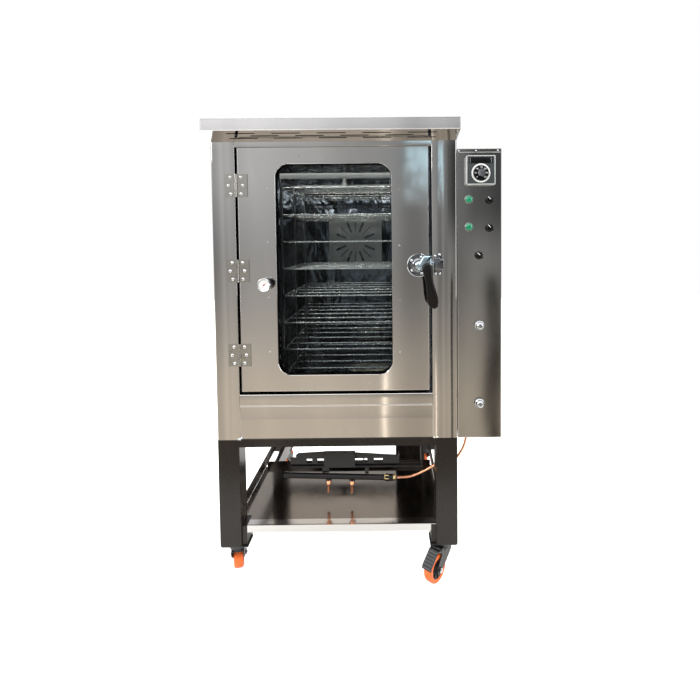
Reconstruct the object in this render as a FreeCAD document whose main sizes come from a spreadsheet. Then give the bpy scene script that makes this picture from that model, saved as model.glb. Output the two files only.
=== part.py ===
"""Rotating rack oven on a caster stand, in millimetres.

The frame has +X to the viewer's right, +Y from the door to the back and +Z up. Its origin is on
the floor under the middle of the whole oven. Each piece is drawn in the cabinet's own frame,
whose zero is the middle of the cabinet's front face at floor level, and is then placed.
"""
import FreeCAD, Part
import math
import os
import Sketcher
from FreeCAD import Placement, Rotation, Vector

doc = FreeCAD.newDocument("rack_oven")
sheet = doc.addObject("Spreadsheet::Sheet", "dims")


class Size:
    """A length or angle together with the expression that gives it from the sheet."""

    def __init__(self, value, text):
        self.value = float(value)
        self.text = text

    def __float__(self):
        return self.value

    def __add__(self, other):
        other = as_size(other)
        return Size(self.value + other.value, f"({self.text} + {other.text})")

    def __sub__(self, other):
        other = as_size(other)
        return Size(self.value - other.value, f"({self.text} - {other.text})")

    def __mul__(self, other):
        other = as_size(other)
        return Size(self.value * other.value, f"({self.text} * {other.text})")

    def __truediv__(self, other):
        other = as_size(other)
        return Size(self.value / other.value, f"({self.text} / {other.text})")

    def __neg__(self):
        return Size(-self.value, f"(-1 * {self.text})")

    __radd__ = __add__
    __rmul__ = __mul__

    def __rsub__(self, other):
        return as_size(other) - self


def as_size(value):
    """Give a plain number the same two sides as a size from the sheet."""
    return value if isinstance(value, Size) else Size(value, repr(float(value)))


def cosine(angle):
    return Size(math.cos(math.radians(angle.value)), f"cos({angle.text} * 1 deg)")


def sine(angle):
    return Size(math.sin(math.radians(angle.value)), f"sin({angle.text} * 1 deg)")


def root(area):
    return Size(math.sqrt(area.value), f"sqrt({area.text})")


def least(first, second):
    return Size(min(first.value, second.value), f"min({first.text}; {second.text})")


rows = []


def size(name, value):
    """Write one driving dimension into the sheet and give it back."""
    rows.append(name)
    cell = f"A{len(rows)}"
    sheet.set(cell, str(value))
    sheet.setAlias(cell, name)
    return Size(value, f"dims.{name}")


# Whole oven
cab_w = size("cab_w", 820)              # cabinet width
cab_d = size("cab_d", 763)              # cabinet and stand depth
cab_h = size("cab_h", 1010)             # cabinet height without the hood's fascia
skin = size("skin", 1.5)                # outer sheet
gap = size("gap", 0.4)                  # clearance between pieces that move apart

# Stand
leg_w = size("leg_w", 73)
leg_d = size("leg_d", 66)
leg_h = size("leg_h", 375)
leg_wall = size("leg_wall", 2)
rail_h = size("rail_h", 26)
rail_d = size("rail_d", 25)
low_rail_t = size("low_rail_t", 18)
low_rail_h = size("low_rail_h", 67.5)
guard_t = size("guard_t", 5)
guard_h = size("guard_h", 40)
guard_in = size("guard_in", 44)         # guard bars inside the legs' outer faces
shelf_d = size("shelf_d", 408)
shelf_set = size("shelf_set", 8)        # shelf's front edge behind the legs' faces
shelf_lip = size("shelf_lip", 24)
shelf_upstand = size("shelf_upstand", 24)

# Casters
caster_h = size("caster_h", 124)
wheel_r = size("wheel_r", 47)
wheel_w = size("wheel_w", 32)
trail = size("trail", 48)
plate_l = size("plate_l", 92)
plate_w = size("plate_w", 64)
plate_t = size("plate_t", 4)
race_r = size("race_r", 24)
race_h = size("race_h", 19)
fork_t = size("fork_t", 3)
fork_w = size("fork_w", 38)             # inside width between the fork's cheeks
axle_r = size("axle_r", 5)
bearing_gap = size("bearing_gap", 0.05)
caster_side = size("caster_side", 49)  # swivel axis inside the legs' outer faces
caster_in = size("caster_in", 33)       # swivel axis behind the legs' front faces
turn_fl = size("turn_fl", 195)
turn_fr = size("turn_fr", -40)
turn_rl = size("turn_rl", 170)
turn_rr = size("turn_rr", 200)
pedal_w = size("pedal_w", 37.2)
pedal_l = size("pedal_l", 63)
pedal_fall = size("pedal_fall", 30)
pedal_t = size("pedal_t", 4)
pivot_pin_r = size("pivot_pin_r", 2.5)
lug_t = size("lug_t", 3)

# Cabinet front
post_l_w = size("post_l_w", 78)
post_r_w = size("post_r_w", 84)
header_h = size("header_h", 18)
kick_h = size("kick_h", 156)
strip_h = size("strip_h", 40)
kick_step = size("kick_step", 3.5)
kick_fold = size("kick_fold", 68)
return_d = size("return_d", 56)         # depth of the posts' inner returns

# Hood
hood_out = size("hood_out", 82.5)
hood_rise = size("hood_rise", 17.6)     # how far the underside climbs towards the front
fascia_h = size("fascia_h", 37)
slot_l = size("slot_l", 92)
slot_w = size("slot_w", 6)
slot_pitch = size("slot_pitch", 145.4)
slot_row = size("slot_row", 17.5)
slot_first = size("slot_first", 60)     # front row ahead of the cabinet's face

# Cavity
wall_room = size("wall_room", 60)        # wool and sheets on each side of the cavity
cav_bottom = size("cav_bottom", 115)    # above the cabinet's bottom
top_room = size("top_room", 55)          # wool and gearmotor over the cavity
back_room = size("back_room", 15)        # wool behind the cavity
mouth_in_l = size("mouth_in_l", 18)      # the mouth's sides inside the door's edges
mouth_in_r = size("mouth_in_r", 17)
mouth_bottom = size("mouth_bottom", 180)
wool_gap = size("wool_gap", 1)
wool_free = size("wool_free", 4)         # around the gearmotor

# Rear baffle and fan
fan_room = size("fan_room", 40)          # between the baffle and the cavity's back
baffle_w = size("baffle_w", 600)
fan_x = size("fan_x", 20)
fan_drop = size("fan_drop", 282)         # below the cavity's ceiling
guard_side = size("guard_side", 260)
guard_plate_t = size("guard_plate_t", 2)
vent_in = size("vent_in", 50)
vent_out = size("vent_out", 104)
fan_r = size("fan_r", 85)
fan_w = size("fan_w", 26)
fan_set = size("fan_set", 8)             # the fan's disc ahead of the cavity's back
fan_disc_t = size("fan_disc_t", 2)
fan_hub_l = size("fan_hub_l", 10)
shaft_in = size("shaft_in", 40)          # shaft's length inside the motor
slit_wide = size("slit_wide", 10)
slit_thin = size("slit_thin", 5)
shaft_r = size("shaft_r", 7)
motor_r = size("motor_r", 62)
motor_l = size("motor_l", 118)

# Rack
rack_side = size("rack_side", 140)       # air beside the rack when it faces the door
turn_gap = size("turn_gap", 8.556)       # around the circle that the rack sweeps
levels = 8
rack_head = size("rack_head", 52)        # top shelf below the rack's top
level_first = size("level_first", 180)  # lowest shelf above the cabinet's bottom
rods = 6
rod_r = size("rod_r", 3)
upright_w = size("upright_w", 20)
upright_t = size("upright_t", 4)
bar_h = size("bar_h", 20)
rack_low = size("rack_low", 145)        # bottom frame above the cabinet's bottom
rack_under = size("rack_under", 30)      # rack's top below the cavity's ceiling
spindle_r = size("spindle_r", 12)
pivot_r = size("pivot_r", 8)
gear_l = size("gear_l", 150)
gear_w = size("gear_w", 110)
gear_h = size("gear_h", 44)
gear_motor_r = size("gear_motor_r", 30)
gear_motor_l = size("gear_motor_l", 130)

# Door
door_gap_l = size("door_gap_l", 9)
door_gap_r = size("door_gap_r", 11)
door_gap_b = size("door_gap_b", 11)
door_gap_t = size("door_gap_t", 1.2)
door_t = size("door_t", 44)
win_w = size("win_w", 391)
win_head = size("win_head", 53.8)        # window's upper edge below the door's
win_r = size("win_r", 48)
win_x = size("win_x", -3.5)             # window's middle from the cabinet's middle
win_z = size("win_z", 221)              # window's lower edge above the cabinet's bottom
glass_t = size("glass_t", 4)
glass_lap = size("glass_lap", 13)
seal_w = size("seal_w", 10)
seal_lap = size("seal_lap", 12)

# Hinges
hinge_h = size("hinge_h", 76.2)
leaf_w = size("leaf_w", 38)
leaf_t = size("leaf_t", 2.5)
knuckle_r = size("knuckle_r", 4.2)
hinge_pin_r = size("hinge_pin_r", 2.4)
hinge_low = size("hinge_low", 293.5)    # lowest hinge's middle above the cabinet's bottom
hinge_head = size("hinge_head", 125.7)   # top hinge's middle below the door's top

# Thermometer
thermo_in = size("thermo_in", 91)        # from the door's hinged edge
thermo_z = size("thermo_z", 534.5)
thermo_r = size("thermo_r", 22)
thermo_face = size("thermo_face", 19.5)
thermo_out = size("thermo_out", 40)
thermo_t = size("thermo_t", 20)
stem_r = size("stem_r", 9)
needle_l = size("needle_l", 15)
needle_turn = size("needle_turn", 38)

# Latch
latch_in = size("latch_in", 34)          # from the door's free edge
latch_z = size("latch_z", 593.5)
rosette_r = size("rosette_r", 39.5)
rosette_t = size("rosette_t", 5)
hub_r = size("hub_r", 14)
hub_out = size("hub_out", 36)
tongue_l = size("tongue_l", 49.5)
tongue_h = size("tongue_h", 11)
tongue_t = size("tongue_t", 8)
arm_l = size("arm_l", 38)
arm_h = size("arm_h", 33)
arm_t = size("arm_t", 22)
grip_top = size("grip_top", 11.5)       # above the rosette's middle
grip_low = size("grip_low", 141)        # below it
grip_x = size("grip_x", 23)             # head to the right of the rosette's middle
grip_lean = size("grip_lean", 20)       # how much further right the lower end is
grip_head = size("grip_head", 36)       # widths down the grip
grip_waist = size("grip_waist", 26)
grip_belly = size("grip_belly", 37)
grip_t = size("grip_t", 19)
grip_bow = size("grip_bow", 9)
keeper_in = size("keeper_in", 6)         # from the right post's inner edge
keeper_w = size("keeper_w", 29)
keeper_h = size("keeper_h", 75)
catch_h = size("catch_h", 35)
catch_w = size("catch_w", 33)
catch_out = size("catch_out", 20)

# Control box
ctrl_gap = size("ctrl_gap", 2)
ctrl_w = size("ctrl_w", 148)
ctrl_d = size("ctrl_d", 300)
ctrl_h = size("ctrl_h", 981)
ctl_side = size("ctl_side", 96)
ctl_x = size("ctl_x", 75)               # controller's middle from the box's left side
ctl_drop = size("ctl_drop", 74)          # below the box's top
ctl_out = size("ctl_out", 22)
ctl_in = size("ctl_in", 60)
dial_r = size("dial_r", 25)
dial_t = size("dial_t", 3)
dial_drop = size("dial_drop", 10)
dial_knob_r = size("dial_knob_r", 13)
dial_knob_t = size("dial_knob_t", 12)
lamp_r = size("lamp_r", 14.5)
lamp_out = size("lamp_out", 10)
lamp_x = size("lamp_x", 38.7)
lamp_drop = size("lamp_drop", 95)        # upper lamp below the controller
lamp_pitch = size("lamp_pitch", 92)
knob_r = size("knob_r", 14)
knob_out = size("knob_out", 24)
knob_x = size("knob_x", 107)
knob_drop = size("knob_drop", 97)        # top knob below the controller
knob_pitch = size("knob_pitch", 93)
knob_low_drop = size("knob_low_drop", 92)
knob_low_x = size("knob_low_x", 72)
cock_r = size("cock_r", 16.5)
cock_out = size("cock_out", 24)
cock_x = size("cock_x", 73)
cock_top = size("cock_top", 388)
cock_low = size("cock_low", 121)
stalk_r = size("stalk_r", 4)
inlet_r = size("inlet_r", 10.65)
inlet_l = size("inlet_l", 30)
inlet_z = size("inlet_z", 70)
inlet_collar = size("inlet_collar", 6)
inlet_relief = size("inlet_relief", 2)   # undercut behind the thread

# Burner and gas line
burner_l = size("burner_l", -196)
burner_w = size("burner_w", 410)
burner_y = size("burner_y", 150)
burner_d = size("burner_d", 44)
burner_lip = size("burner_lip", 4)      # height of the tray's back edge
flame_d = size("flame_d", 260)          # depth of the opening above the burner
burner_drop = size("burner_drop", 176)  # tray's bottom below the cabinet's bottom
tray_h = size("tray_h", 39)
block_l = size("block_l", -67)
block_w = size("block_w", 115)
block_h = size("block_h", 54)
block_d = size("block_d", 20)
deflector_h = size("deflector_h", 22)
strap_w = size("strap_w", 20)
strap_t = size("strap_t", 3)
gate_z = size("gate_z", 14)
gate_h = size("gate_h", 18)
gate_spots = [(size(f"gate_{n}_x", x), size(f"gate_{n}_w", wide)) for n, (x, wide) in
              enumerate([(61, 20), (101, 24), (244, 30), (279, 10), (315, 32)])]
clamp_spots = [(size(f"clamp_{n}_x", x), size(f"clamp_{n}_w", wide), size(f"clamp_{n}_h", tall))
               for n, (x, wide, tall) in enumerate([(120, 25, 18), (281, 13, 23)])]
rod_long = size("rod_long", 498)
rod_thin = size("rod_thin", 5)
pipe_r = size("pipe_r", 10.65)
pipe_drop = size("pipe_drop", 198.5)
pipe_l = size("pipe_l", -210)
pipe_len = size("pipe_len", 370)
nut_r = size("nut_r", 13)
nut_l = size("nut_l", 45)
jet_r = size("jet_r", 5)
jet_l = size("jet_l", 52)
jet_left = size("jet_left", -51)
jet_right = size("jet_right", 37)
pipe_tilt = size("pipe_tilt", 1.9)      # the pipe falls a little towards its nut
tube_r = size("tube_r", 4.75)
tube_in = size("tube_in", 47)            # where the tube enters the control box
tube_y = size("tube_y", 96)
pipe_y = size("pipe_y", 138)
box_w = size("box_w", 112)
box_d = size("box_d", 90)
box_h = size("box_h", 325)
box_y = size("box_y", 430)

# Places that follow from the sizes above
mid_x = -(ctrl_gap + ctrl_w) / 2
face_y = (hood_out - cab_d - motor_l) / 2
cab_z = caster_h + leg_h
half_w = cab_w / 2
door_l = -half_w + post_l_w + door_gap_l
door_r = half_w - post_r_w - door_gap_r
door_w = door_r - door_l
door_z = kick_h + door_gap_b
door_h = cab_h - header_h - door_gap_t - door_z
door_top = door_z + door_h
cav_w = cab_w - wall_room * 2
cav_top = cab_h - top_room
cav_back = cab_d - back_room
ring_l = -door_l - mouth_in_l           # cavity mouth, left and right of the middle
ring_r = door_r - mouth_in_r
baffle_y = cav_back - fan_room
fan_z = cav_top - fan_drop
rack_y = (door_t + baffle_y) / 2        # spindle behind the cabinet's face
rack_w = cav_w - rack_side * 2
turn_r = least(baffle_y - rack_y, cav_w / 2) - turn_gap
rack_d = root(turn_r * turn_r - rack_w * rack_w / 4) * 2
rod_pitch = (rack_d - rod_r * 2) / (rods - 1)
rack_high = cav_top - rack_under
level_pitch = (rack_high - rack_head - level_first) / (levels - 1)
win_h = door_top - win_head - win_z
hinge_pitch = (door_top - hinge_head - hinge_low) / 2
thermo_x = door_l + thermo_in
latch_x = door_r - latch_in
keeper_x = half_w - post_r_w + keeper_in
ctl_z = ctrl_h - ctl_drop
lamp_top = ctl_z - lamp_drop
lamp_low = lamp_top - lamp_pitch
knob_top = ctl_z - knob_drop
knob_mid = knob_top - knob_pitch
knob_low = knob_mid - knob_low_drop
hinge_x = door_l - door_gap_l / 2
hinge_y = -(knuckle_r - 1.2)
shelf_z = caster_h + low_rail_h + skin
box_x = half_w + ctrl_gap
crown_z = caster_h - plate_t - race_h - gap - fork_t

pieces = []


def bind(obj, **values):
    """Tie properties to sizes; two underscores in a name stand for a dot."""
    for name, value in values.items():
        obj.setExpression(name.replace("__", "."), as_size(value).text)
    return obj


def put(obj, x=0, y=0, z=0):
    return bind(obj, Placement__Base__x=x, Placement__Base__y=y, Placement__Base__z=z)


def box(x, y, z, wide, deep, tall):
    """A block whose least corner is at x, y, z."""
    obj = doc.addObject("Part::Box", "block")
    bind(obj, Length=wide, Width=deep, Height=tall)
    return put(obj, x, y, z)


TURNS = {
    "X": Rotation(Vector(0, 1, 0), 90),
    "Y": Rotation(Vector(1, 0, 0), -90),
    "Z": Rotation(),
}


def rod(x, y, z, radius, length, axis="Z"):
    """A round bar that starts at x, y, z and runs along +axis."""
    obj = doc.addObject("Part::Cylinder", "bar")
    obj.Placement = Placement(Vector(), TURNS[axis])
    bind(obj, Radius=radius, Height=length)
    return put(obj, x, y, z)


def cone(x, y, z, first, second, length, axis="Z"):
    obj = doc.addObject("Part::Cone", "taper")
    obj.Placement = Placement(Vector(), TURNS[axis])
    bind(obj, Radius1=first, Radius2=second, Height=length)
    return put(obj, x, y, z)


def join(*shapes):
    """One welded or cast piece."""
    obj = doc.addObject("Part::MultiFuse", "joined")
    obj.Shapes = list(shapes)
    obj.Refine = True
    return obj


def group(*shapes):
    """Separate solids that share a node."""
    obj = doc.addObject("Part::Compound", "set")
    obj.Links = list(shapes)
    return obj


def cut(base, *tools):
    obj = doc.addObject("Part::Cut", "cut")
    obj.Base = base
    obj.Tool = tools[0] if len(tools) == 1 else group(*tools)
    return obj


def copy(source, x=0, y=0, z=0):
    """The same shape again, moved by x, y, z."""
    obj = doc.addObject("App::Link", "again")
    obj.setLink(source)
    obj.LinkTransform = True
    return put(obj, x, y, z)


def finish(name, obj, x=None, y=None, z=0):
    """Name a piece and place it; by default it goes where the cabinet's frame is."""
    obj.Label = name
    put(obj, mid_x if x is None else x, face_y if y is None else y, z)
    pieces.append(obj)
    return obj


def sketch(body, points, plane="YZ_Plane", arcs=None):
    """A closed outline through points, each point tied to its two sizes.

    arcs gives, for a corner's index, the size of the radius that rounds it.
    """
    drawing = body.newObject("Sketcher::SketchObject", "outline")
    support = [f for f in body.Origin.OriginFeatures if f.Role == plane][0]
    drawing.AttachmentSupport = [(support, "")]
    drawing.MapMode = "FlatFace"
    ends = [(as_size(a), as_size(b)) for a, b in points]
    count = len(ends)
    for i in range(count):
        here = Vector(*[float(v) for v in ends[i]], 0)
        there = Vector(*[float(v) for v in ends[(i + 1) % count]], 0)
        drawing.addGeometry(Part.LineSegment(here, there))
    for i in range(count):
        drawing.addConstraint(Sketcher.Constraint("Coincident", i, 2, (i + 1) % count, 1))
    for i, (a, b) in enumerate(ends):
        for kind, value in (("DistanceX", a), ("DistanceY", b)):
            index = drawing.addConstraint(Sketcher.Constraint(kind, -1, 1, i, 1, value.value))
            drawing.setExpression(f"Constraints[{index}]", value.text)
    return drawing


def pad(points, length, plane="YZ_Plane", midplane=True):
    """A body whose outline is padded by length, to both sides of its plane."""
    body = doc.addObject("PartDesign::Body", "body")
    feature = body.newObject("PartDesign::Pad", "pad")
    feature.Profile = sketch(body, points, plane)
    feature.Midplane = midplane
    bind(feature, Length=length)
    body.Tip = feature
    return body


def pane(x, z, wide, tall, radius, y, deep):
    """A plate with rounded corners, standing in the XZ plane."""
    wide_part = box(x, y, z + radius, wide, deep, tall - radius * 2)
    tall_part = box(x + radius, y, z, wide - radius * 2, deep, tall)
    corners = [rod(a, y, b, radius, deep, "Y")
               for a in (x + radius, x + wide - radius)
               for b in (z + radius, z + tall - radius)]
    return join(wide_part, tall_part, *corners)


def tray(x, y, z, wide, deep, tall, wall, open_side="top"):
    """A folded sheet pan, open on one side."""
    outer = box(x, y, z, wide, deep, tall)
    lift = {"top": (wall, wall, wall), "back": (wall, wall, wall)}[open_side]
    if open_side == "top":
        inner = box(x + wall, y + wall, z + wall, wide - wall * 2, deep - wall * 2, tall)
    else:
        inner = box(x + wall, y + wall, z + wall, wide - wall * 2, deep, tall - wall * 2)
    return cut(outer, inner)


# ---------------------------------------------------------------- stand
def stand():
    outer = box(0, 0, 0, leg_w, leg_d, leg_h)
    inner = box(leg_wall, leg_wall, 0, leg_w - leg_wall * 2, leg_d - leg_wall * 2, leg_h)
    leg = cut(outer, inner)
    corners = [(x, y) for x in (-half_w, half_w - leg_w) for y in (0, cab_d - leg_d)]
    finish("stand_legs", group(*[copy(leg, x, y) for x, y in corners]), z=caster_h)

    between = cab_w - leg_w * 2
    along = cab_d - leg_d * 2
    rail_z = leg_h - rail_h
    cross = [box(-half_w + leg_w, y, rail_z, between, rail_d, rail_h) for y in (0, cab_d - rail_d)]
    sides = [box(x, leg_d, rail_z, rail_d, along, rail_h) for x in (-half_w, half_w - rail_d)]
    low = [box(x, shelf_set, 0, low_rail_t, cab_d - shelf_set * 2, low_rail_h)
           for x in (-half_w + leg_w, half_w - leg_w - low_rail_t)]
    guards = [box(x, leg_d, low_rail_h + skin, guard_t, along, guard_h)
              for x in (-half_w + guard_in, half_w - guard_in - guard_t)]
    finish("stand_rails", group(*cross, *sides, *low, *guards), z=caster_h)

    throat = between - low_rail_t * 2
    wide = cab_w - (guard_in + guard_t + gap) * 2
    past_legs = leg_d + gap
    front = box(-throat / 2, shelf_set, 0, throat + low_rail_t - gap, past_legs - shelf_set, skin)
    main = box(-wide / 2, past_legs, 0, wide, shelf_d - leg_d, skin)
    lip = box(-throat / 2 + gap, shelf_set, skin - shelf_lip, throat - gap * 2, skin, shelf_lip)
    back_y = past_legs + shelf_d - leg_d - skin
    stand_back = wide - guard_t * 2
    upstand = box(-stand_back / 2, back_y, 0, stand_back, skin, shelf_upstand + skin)
    finish("lower_shelf", join(front, main, lip, upstand), z=shelf_z - skin)


# -------------------------------------------------------------- casters
def caster_spot(side, end):
    """Swivel axis in the oven's frame: side is -1 or 1, end is 0 at the front and 1 at the back."""
    x = mid_x + (half_w - caster_side) * side
    y = face_y + (caster_in if end == 0 else cab_d - caster_in)
    return x, y


def casters():
    plate = box(-plate_l / 2, -plate_w / 2, -plate_t, plate_l, plate_w, plate_t)
    neck = cone(0, 0, -plate_t - race_h, race_r, race_r + 4, race_h - 5)
    cup = rod(0, 0, -plate_t - 5, race_r + 4, 5)
    race = join(neck, cup)
    spots = {"fl": (-1, 0, turn_fl), "fr": (1, 0, turn_fr),
             "rl": (-1, 1, turn_rl), "rr": (1, 1, turn_rr)}
    tops = [copy(half, *caster_spot(side, end)) for side, end, turn in spots.values()
            for half in (plate, race)]
    finish("caster_plates", group(*tops), x=0, y=0, z=caster_h)

    plain = fork()
    braked = join(plain, *brake_lugs())
    roller = wheel()
    for name, (side, end, turn) in spots.items():
        x, y = caster_spot(side, end)
        one = finish(f"caster_fork_{name}", group(copy(plain if end else braked)), x=x, y=y)
        turned(one, turn)
        other = finish(f"caster_wheel_{name}", group(copy(roller)), x=x + sine(turn) * trail,
                       y=y - cosine(turn) * trail, z=wheel_r)
        turned(other, turn)
        if end == 0:
            turned(finish(f"brake_pedal_{name}", group(copy(pedal())), x=x, y=y), turn)


def fork():
    """A pressed fork that trails behind its swivel, with the axle bolt through it."""
    half = fork_w / 2
    crown = box(-half - fork_t, -race_r - 6, crown_z, fork_w + fork_t * 2, race_r * 2 + 6, fork_t)
    eye = axle_r * 2.4
    side = [(race_r, crown_z + fork_t), (-race_r - 6, crown_z + fork_t),
            (-trail - eye, wheel_r + eye), (-trail - eye, wheel_r - eye),
            (-trail + eye, wheel_r - eye), (race_r, crown_z - 12)]
    cheek = pad(side, fork_t)
    cheeks = [copy(cheek, x) for x in (-half - fork_t / 2, half + fork_t / 2)]
    axle = rod(-half - fork_t - 5, -trail, wheel_r, axle_r, fork_w + fork_t * 2 + 10, "X")
    heads = [rod(x, -trail, wheel_r, axle_r * 1.7, 5, "X")
             for x in (-half - fork_t - 5, half + fork_t)]
    return join(crown, *cheeks, axle, *heads)


def brake_lugs():
    """Two ears and a cross pin that carry the pedal."""
    outer = fork_w / 2 + fork_t
    ears = [box(x, -race_r - 18, crown_z, lug_t, 20, 14) for x in (-outer, outer - lug_t)]
    pin = rod(-outer - 1, -race_r - 10, crown_z + 8, pivot_pin_r, outer * 2 + 2, "X")
    return [*ears, pin]


def pedal():
    """A folded steel pedal that curves over the wheel."""
    back = -race_r - 10
    high = crown_z + 8
    steel = [(back, high + 2), (back - 20, high + 5), (back - pedal_l, high - pedal_fall),
             (back - pedal_l - 3, high - pedal_fall - 10), (back - pedal_l, high - pedal_fall - 10),
             (back - pedal_l + 3, high - pedal_fall - 3), (back - 22, high + 1), (back, high - 2)]
    blade = pad(steel, pedal_w)
    barrel = rod(-pedal_w / 2, back, high, pivot_pin_r + 2.5, pedal_w, "X")
    bore = rod(-pedal_w, back, high, pivot_pin_r + bearing_gap, pedal_w * 2, "X")
    return cut(join(blade, barrel), bore)


def wheel():
    """A polyurethane tread on a hub, with a plain bore for the axle bolt."""
    half = wheel_w / 2
    shoulder = wheel_r - 5
    tread = rod(-half + 6, 0, 0, wheel_r, wheel_w - 12, "X")
    bevels = [cone(-half, 0, 0, shoulder, wheel_r, 6, "X"),
              cone(half - 6, 0, 0, wheel_r, shoulder, 6, "X")]
    dishes = [rod(x, 0, 0, wheel_r - 13, 7, "X") for x in (-half - 1, half - 6)]
    boss = rod(-fork_w / 2 + gap, 0, 0, axle_r * 2.2, fork_w - gap * 2, "X")
    rim = cut(join(tread, *bevels), *dishes)
    return cut(join(rim, boss), rod(-fork_w, 0, 0, axle_r + bearing_gap, fork_w * 2, "X"))


def turned(obj, angle):
    """Turn a placed piece about its own vertical axis."""
    base = obj.Placement.Base
    obj.Placement = Placement(base, Rotation(Vector(0, 0, 1), 1))
    obj.setExpression("Placement.Rotation.Angle", f"{angle.text} * 1 deg")


# -------------------------------------------------------------- cabinet
def front_frame():
    for name, x, wide, inner in (("front_post_left", -half_w, post_l_w, -half_w + post_l_w - skin),
                                 ("front_post_right", half_w - post_r_w, post_r_w, half_w - post_r_w)):
        outer_x = -half_w + skin if name == "front_post_left" else half_w - skin * 2
        face = box(x, 0, 0, wide, skin, cab_h)
        inside = box(inner, skin, 0, skin, return_d - skin, cab_h)
        outside = box(outer_x, skin, 0, skin, 30, cab_h)
        finish(name, join(face, inside, outside), z=cab_z)

    opening_l = -half_w + post_l_w
    opening_w = cab_w - post_l_w - post_r_w
    strip = box(opening_l, 0, 0, opening_w, skin, header_h)
    shelf = box(opening_l, skin, 0, opening_w, return_d - skin, skin)
    finish("header_strip", join(strip, shelf), z=cab_z + cab_h - header_h)

    low_top = kick_h - strip_h
    upper = box(opening_l, 0, low_top, opening_w, skin, strip_h)
    ledge = box(opening_l, skin, kick_h - skin, opening_w, return_d - skin, skin)
    step = box(opening_l, skin, low_top, opening_w, kick_step, skin)
    bend = box(opening_l, kick_step, 0, opening_w, skin, low_top + skin)
    crease = box(opening_l, kick_step - 1, kick_fold - 1.5, opening_w, 1, 3)
    finish("kick_panel", join(upper, ledge, step, bend, crease), z=cab_z)


def casing():
    side = box(0, skin, 0, skin, cab_d - skin * 2, cab_h)
    finish("side_panel_left", group(copy(side, -half_w)), z=cab_z)
    finish("side_panel_right", group(copy(side, half_w - skin)), z=cab_z)

    shaft_hole = rod(fan_x, -skin, fan_z, shaft_r + 8, skin * 3, "Y")
    back = cut(box(-half_w, 0, 0, cab_w, skin, cab_h), shaft_hole)
    finish("back_panel", back, y=face_y + cab_d - skin, z=cab_z)

    inside = cab_w - skin * 2
    first_y = kick_step + skin
    plate = box(-inside / 2, first_y, 0, inside, cab_d - skin - first_y, skin)
    flame = box(burner_l, burner_y, -skin, burner_w, flame_d, skin * 3)
    posts = [box(-half_w, 0, -skin, post_l_w, return_d, skin * 3),
             box(half_w - post_r_w, 0, -skin, post_r_w, return_d, skin * 3)]
    finish("floor_pan", cut(plate, flame, *posts), z=cab_z)


def hood():
    """A lid over the whole cabinet, with a visor whose underside is slotted for the hot air."""
    top = hood_rise + fascia_h
    outer = pad([(-hood_out, top), (cab_d, top), (cab_d, 0), (0, 0), (-hood_out, hood_rise)], cab_w)
    wall_y = -hood_out + skin
    inner = pad([(wall_y, top - skin), (cab_d - skin, top - skin), (cab_d - skin, -skin),
                 (return_d, -skin), (return_d, skin), (0, skin), (wall_y, hood_rise + skin)],
                cab_w - skin * 2)
    slots = []
    for row in range(3):
        count = 5 if row % 2 == 0 else 4
        y = -slot_first + slot_row * row - slot_w / 2
        for n in range(count):
            x = slot_pitch * (n - (count - 1) / 2) - slot_l / 2
            slots.append(box(x, y, -skin, slot_l, slot_w, hood_rise + skin * 3))
    finish("roof_hood", cut(outer, inner, *slots), z=cab_z + cab_h)


def cavity():
    """Five welded liner sheets and the flat ring that the door's seal closes on."""
    half = cav_w / 2
    front = return_d + skin
    deep = cav_back - front
    tall = cav_top - cav_bottom
    walls = [box(x, front, cav_bottom, skin, deep, tall) for x in (-half - skin, half)]
    plate = box(-half - skin, front, 0, cav_w + skin * 2, deep, skin)
    bush = cut(rod(0, rack_y, cav_bottom, pivot_r + 8, 12),
               rod(0, rack_y, cav_bottom - skin, pivot_r + bearing_gap, 20))
    floor = cut(copy(plate, 0, 0, cav_bottom - skin),
                rod(0, rack_y, cav_bottom - skin * 2, pivot_r + 2, 20))
    ceiling = cut(copy(plate, 0, 0, cav_top),
                  rod(0, rack_y, cav_top - skin, spindle_r + 3, skin * 3))
    rear = box(-half - skin, cav_back, cav_bottom - skin, cav_w + skin * 2, skin, tall + skin * 2)
    back = cut(rear, rod(fan_x, cav_back - skin, fan_z, shaft_r + 3, skin * 3, "Y"))
    ring_low = kick_h - skin * 2
    blank = box(-half, return_d, ring_low, cav_w, skin, cab_h - header_h - skin - ring_low)
    mouth = box(-ring_l, return_d - skin, mouth_bottom, ring_l + ring_r, skin * 3,
                cav_top - mouth_bottom)
    ring = cut(blank, mouth)
    finish("cavity_liner", group(*walls, floor, ceiling, back, ring, bush), z=cab_z)


def wool():
    """Mineral wool slabs between the liner and the casing."""
    half = cav_w / 2 + skin + wool_gap
    thick = half_w - skin - wool_gap - half
    start = return_d + skin * 2 + wool_gap
    deep = cav_back - start
    tall = cav_top - cav_bottom
    sides = [box(x, start, cav_bottom, thick, deep, tall) for x in (-half - thick, half)]
    top = cut(box(-cav_w / 2, start, cav_top + skin + wool_gap, cav_w, deep, 30),
              box(-gear_w / 2 - wool_free, rack_y - gear_l / 2 - wool_free * 2, cav_top,
                  gear_w + wool_free * 2, gear_l + gear_motor_l + wool_free * 4, 60))
    room = cab_d - skin - cav_back - skin - wool_gap * 2
    back = cut(box(-cav_w / 2, cav_back + skin + wool_gap, cav_bottom, cav_w, room, tall),
               rod(fan_x, cav_back, fan_z, shaft_r + 12, 20, "Y"))
    finish("insulation", group(*sides, top, back), z=cab_z)


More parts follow.
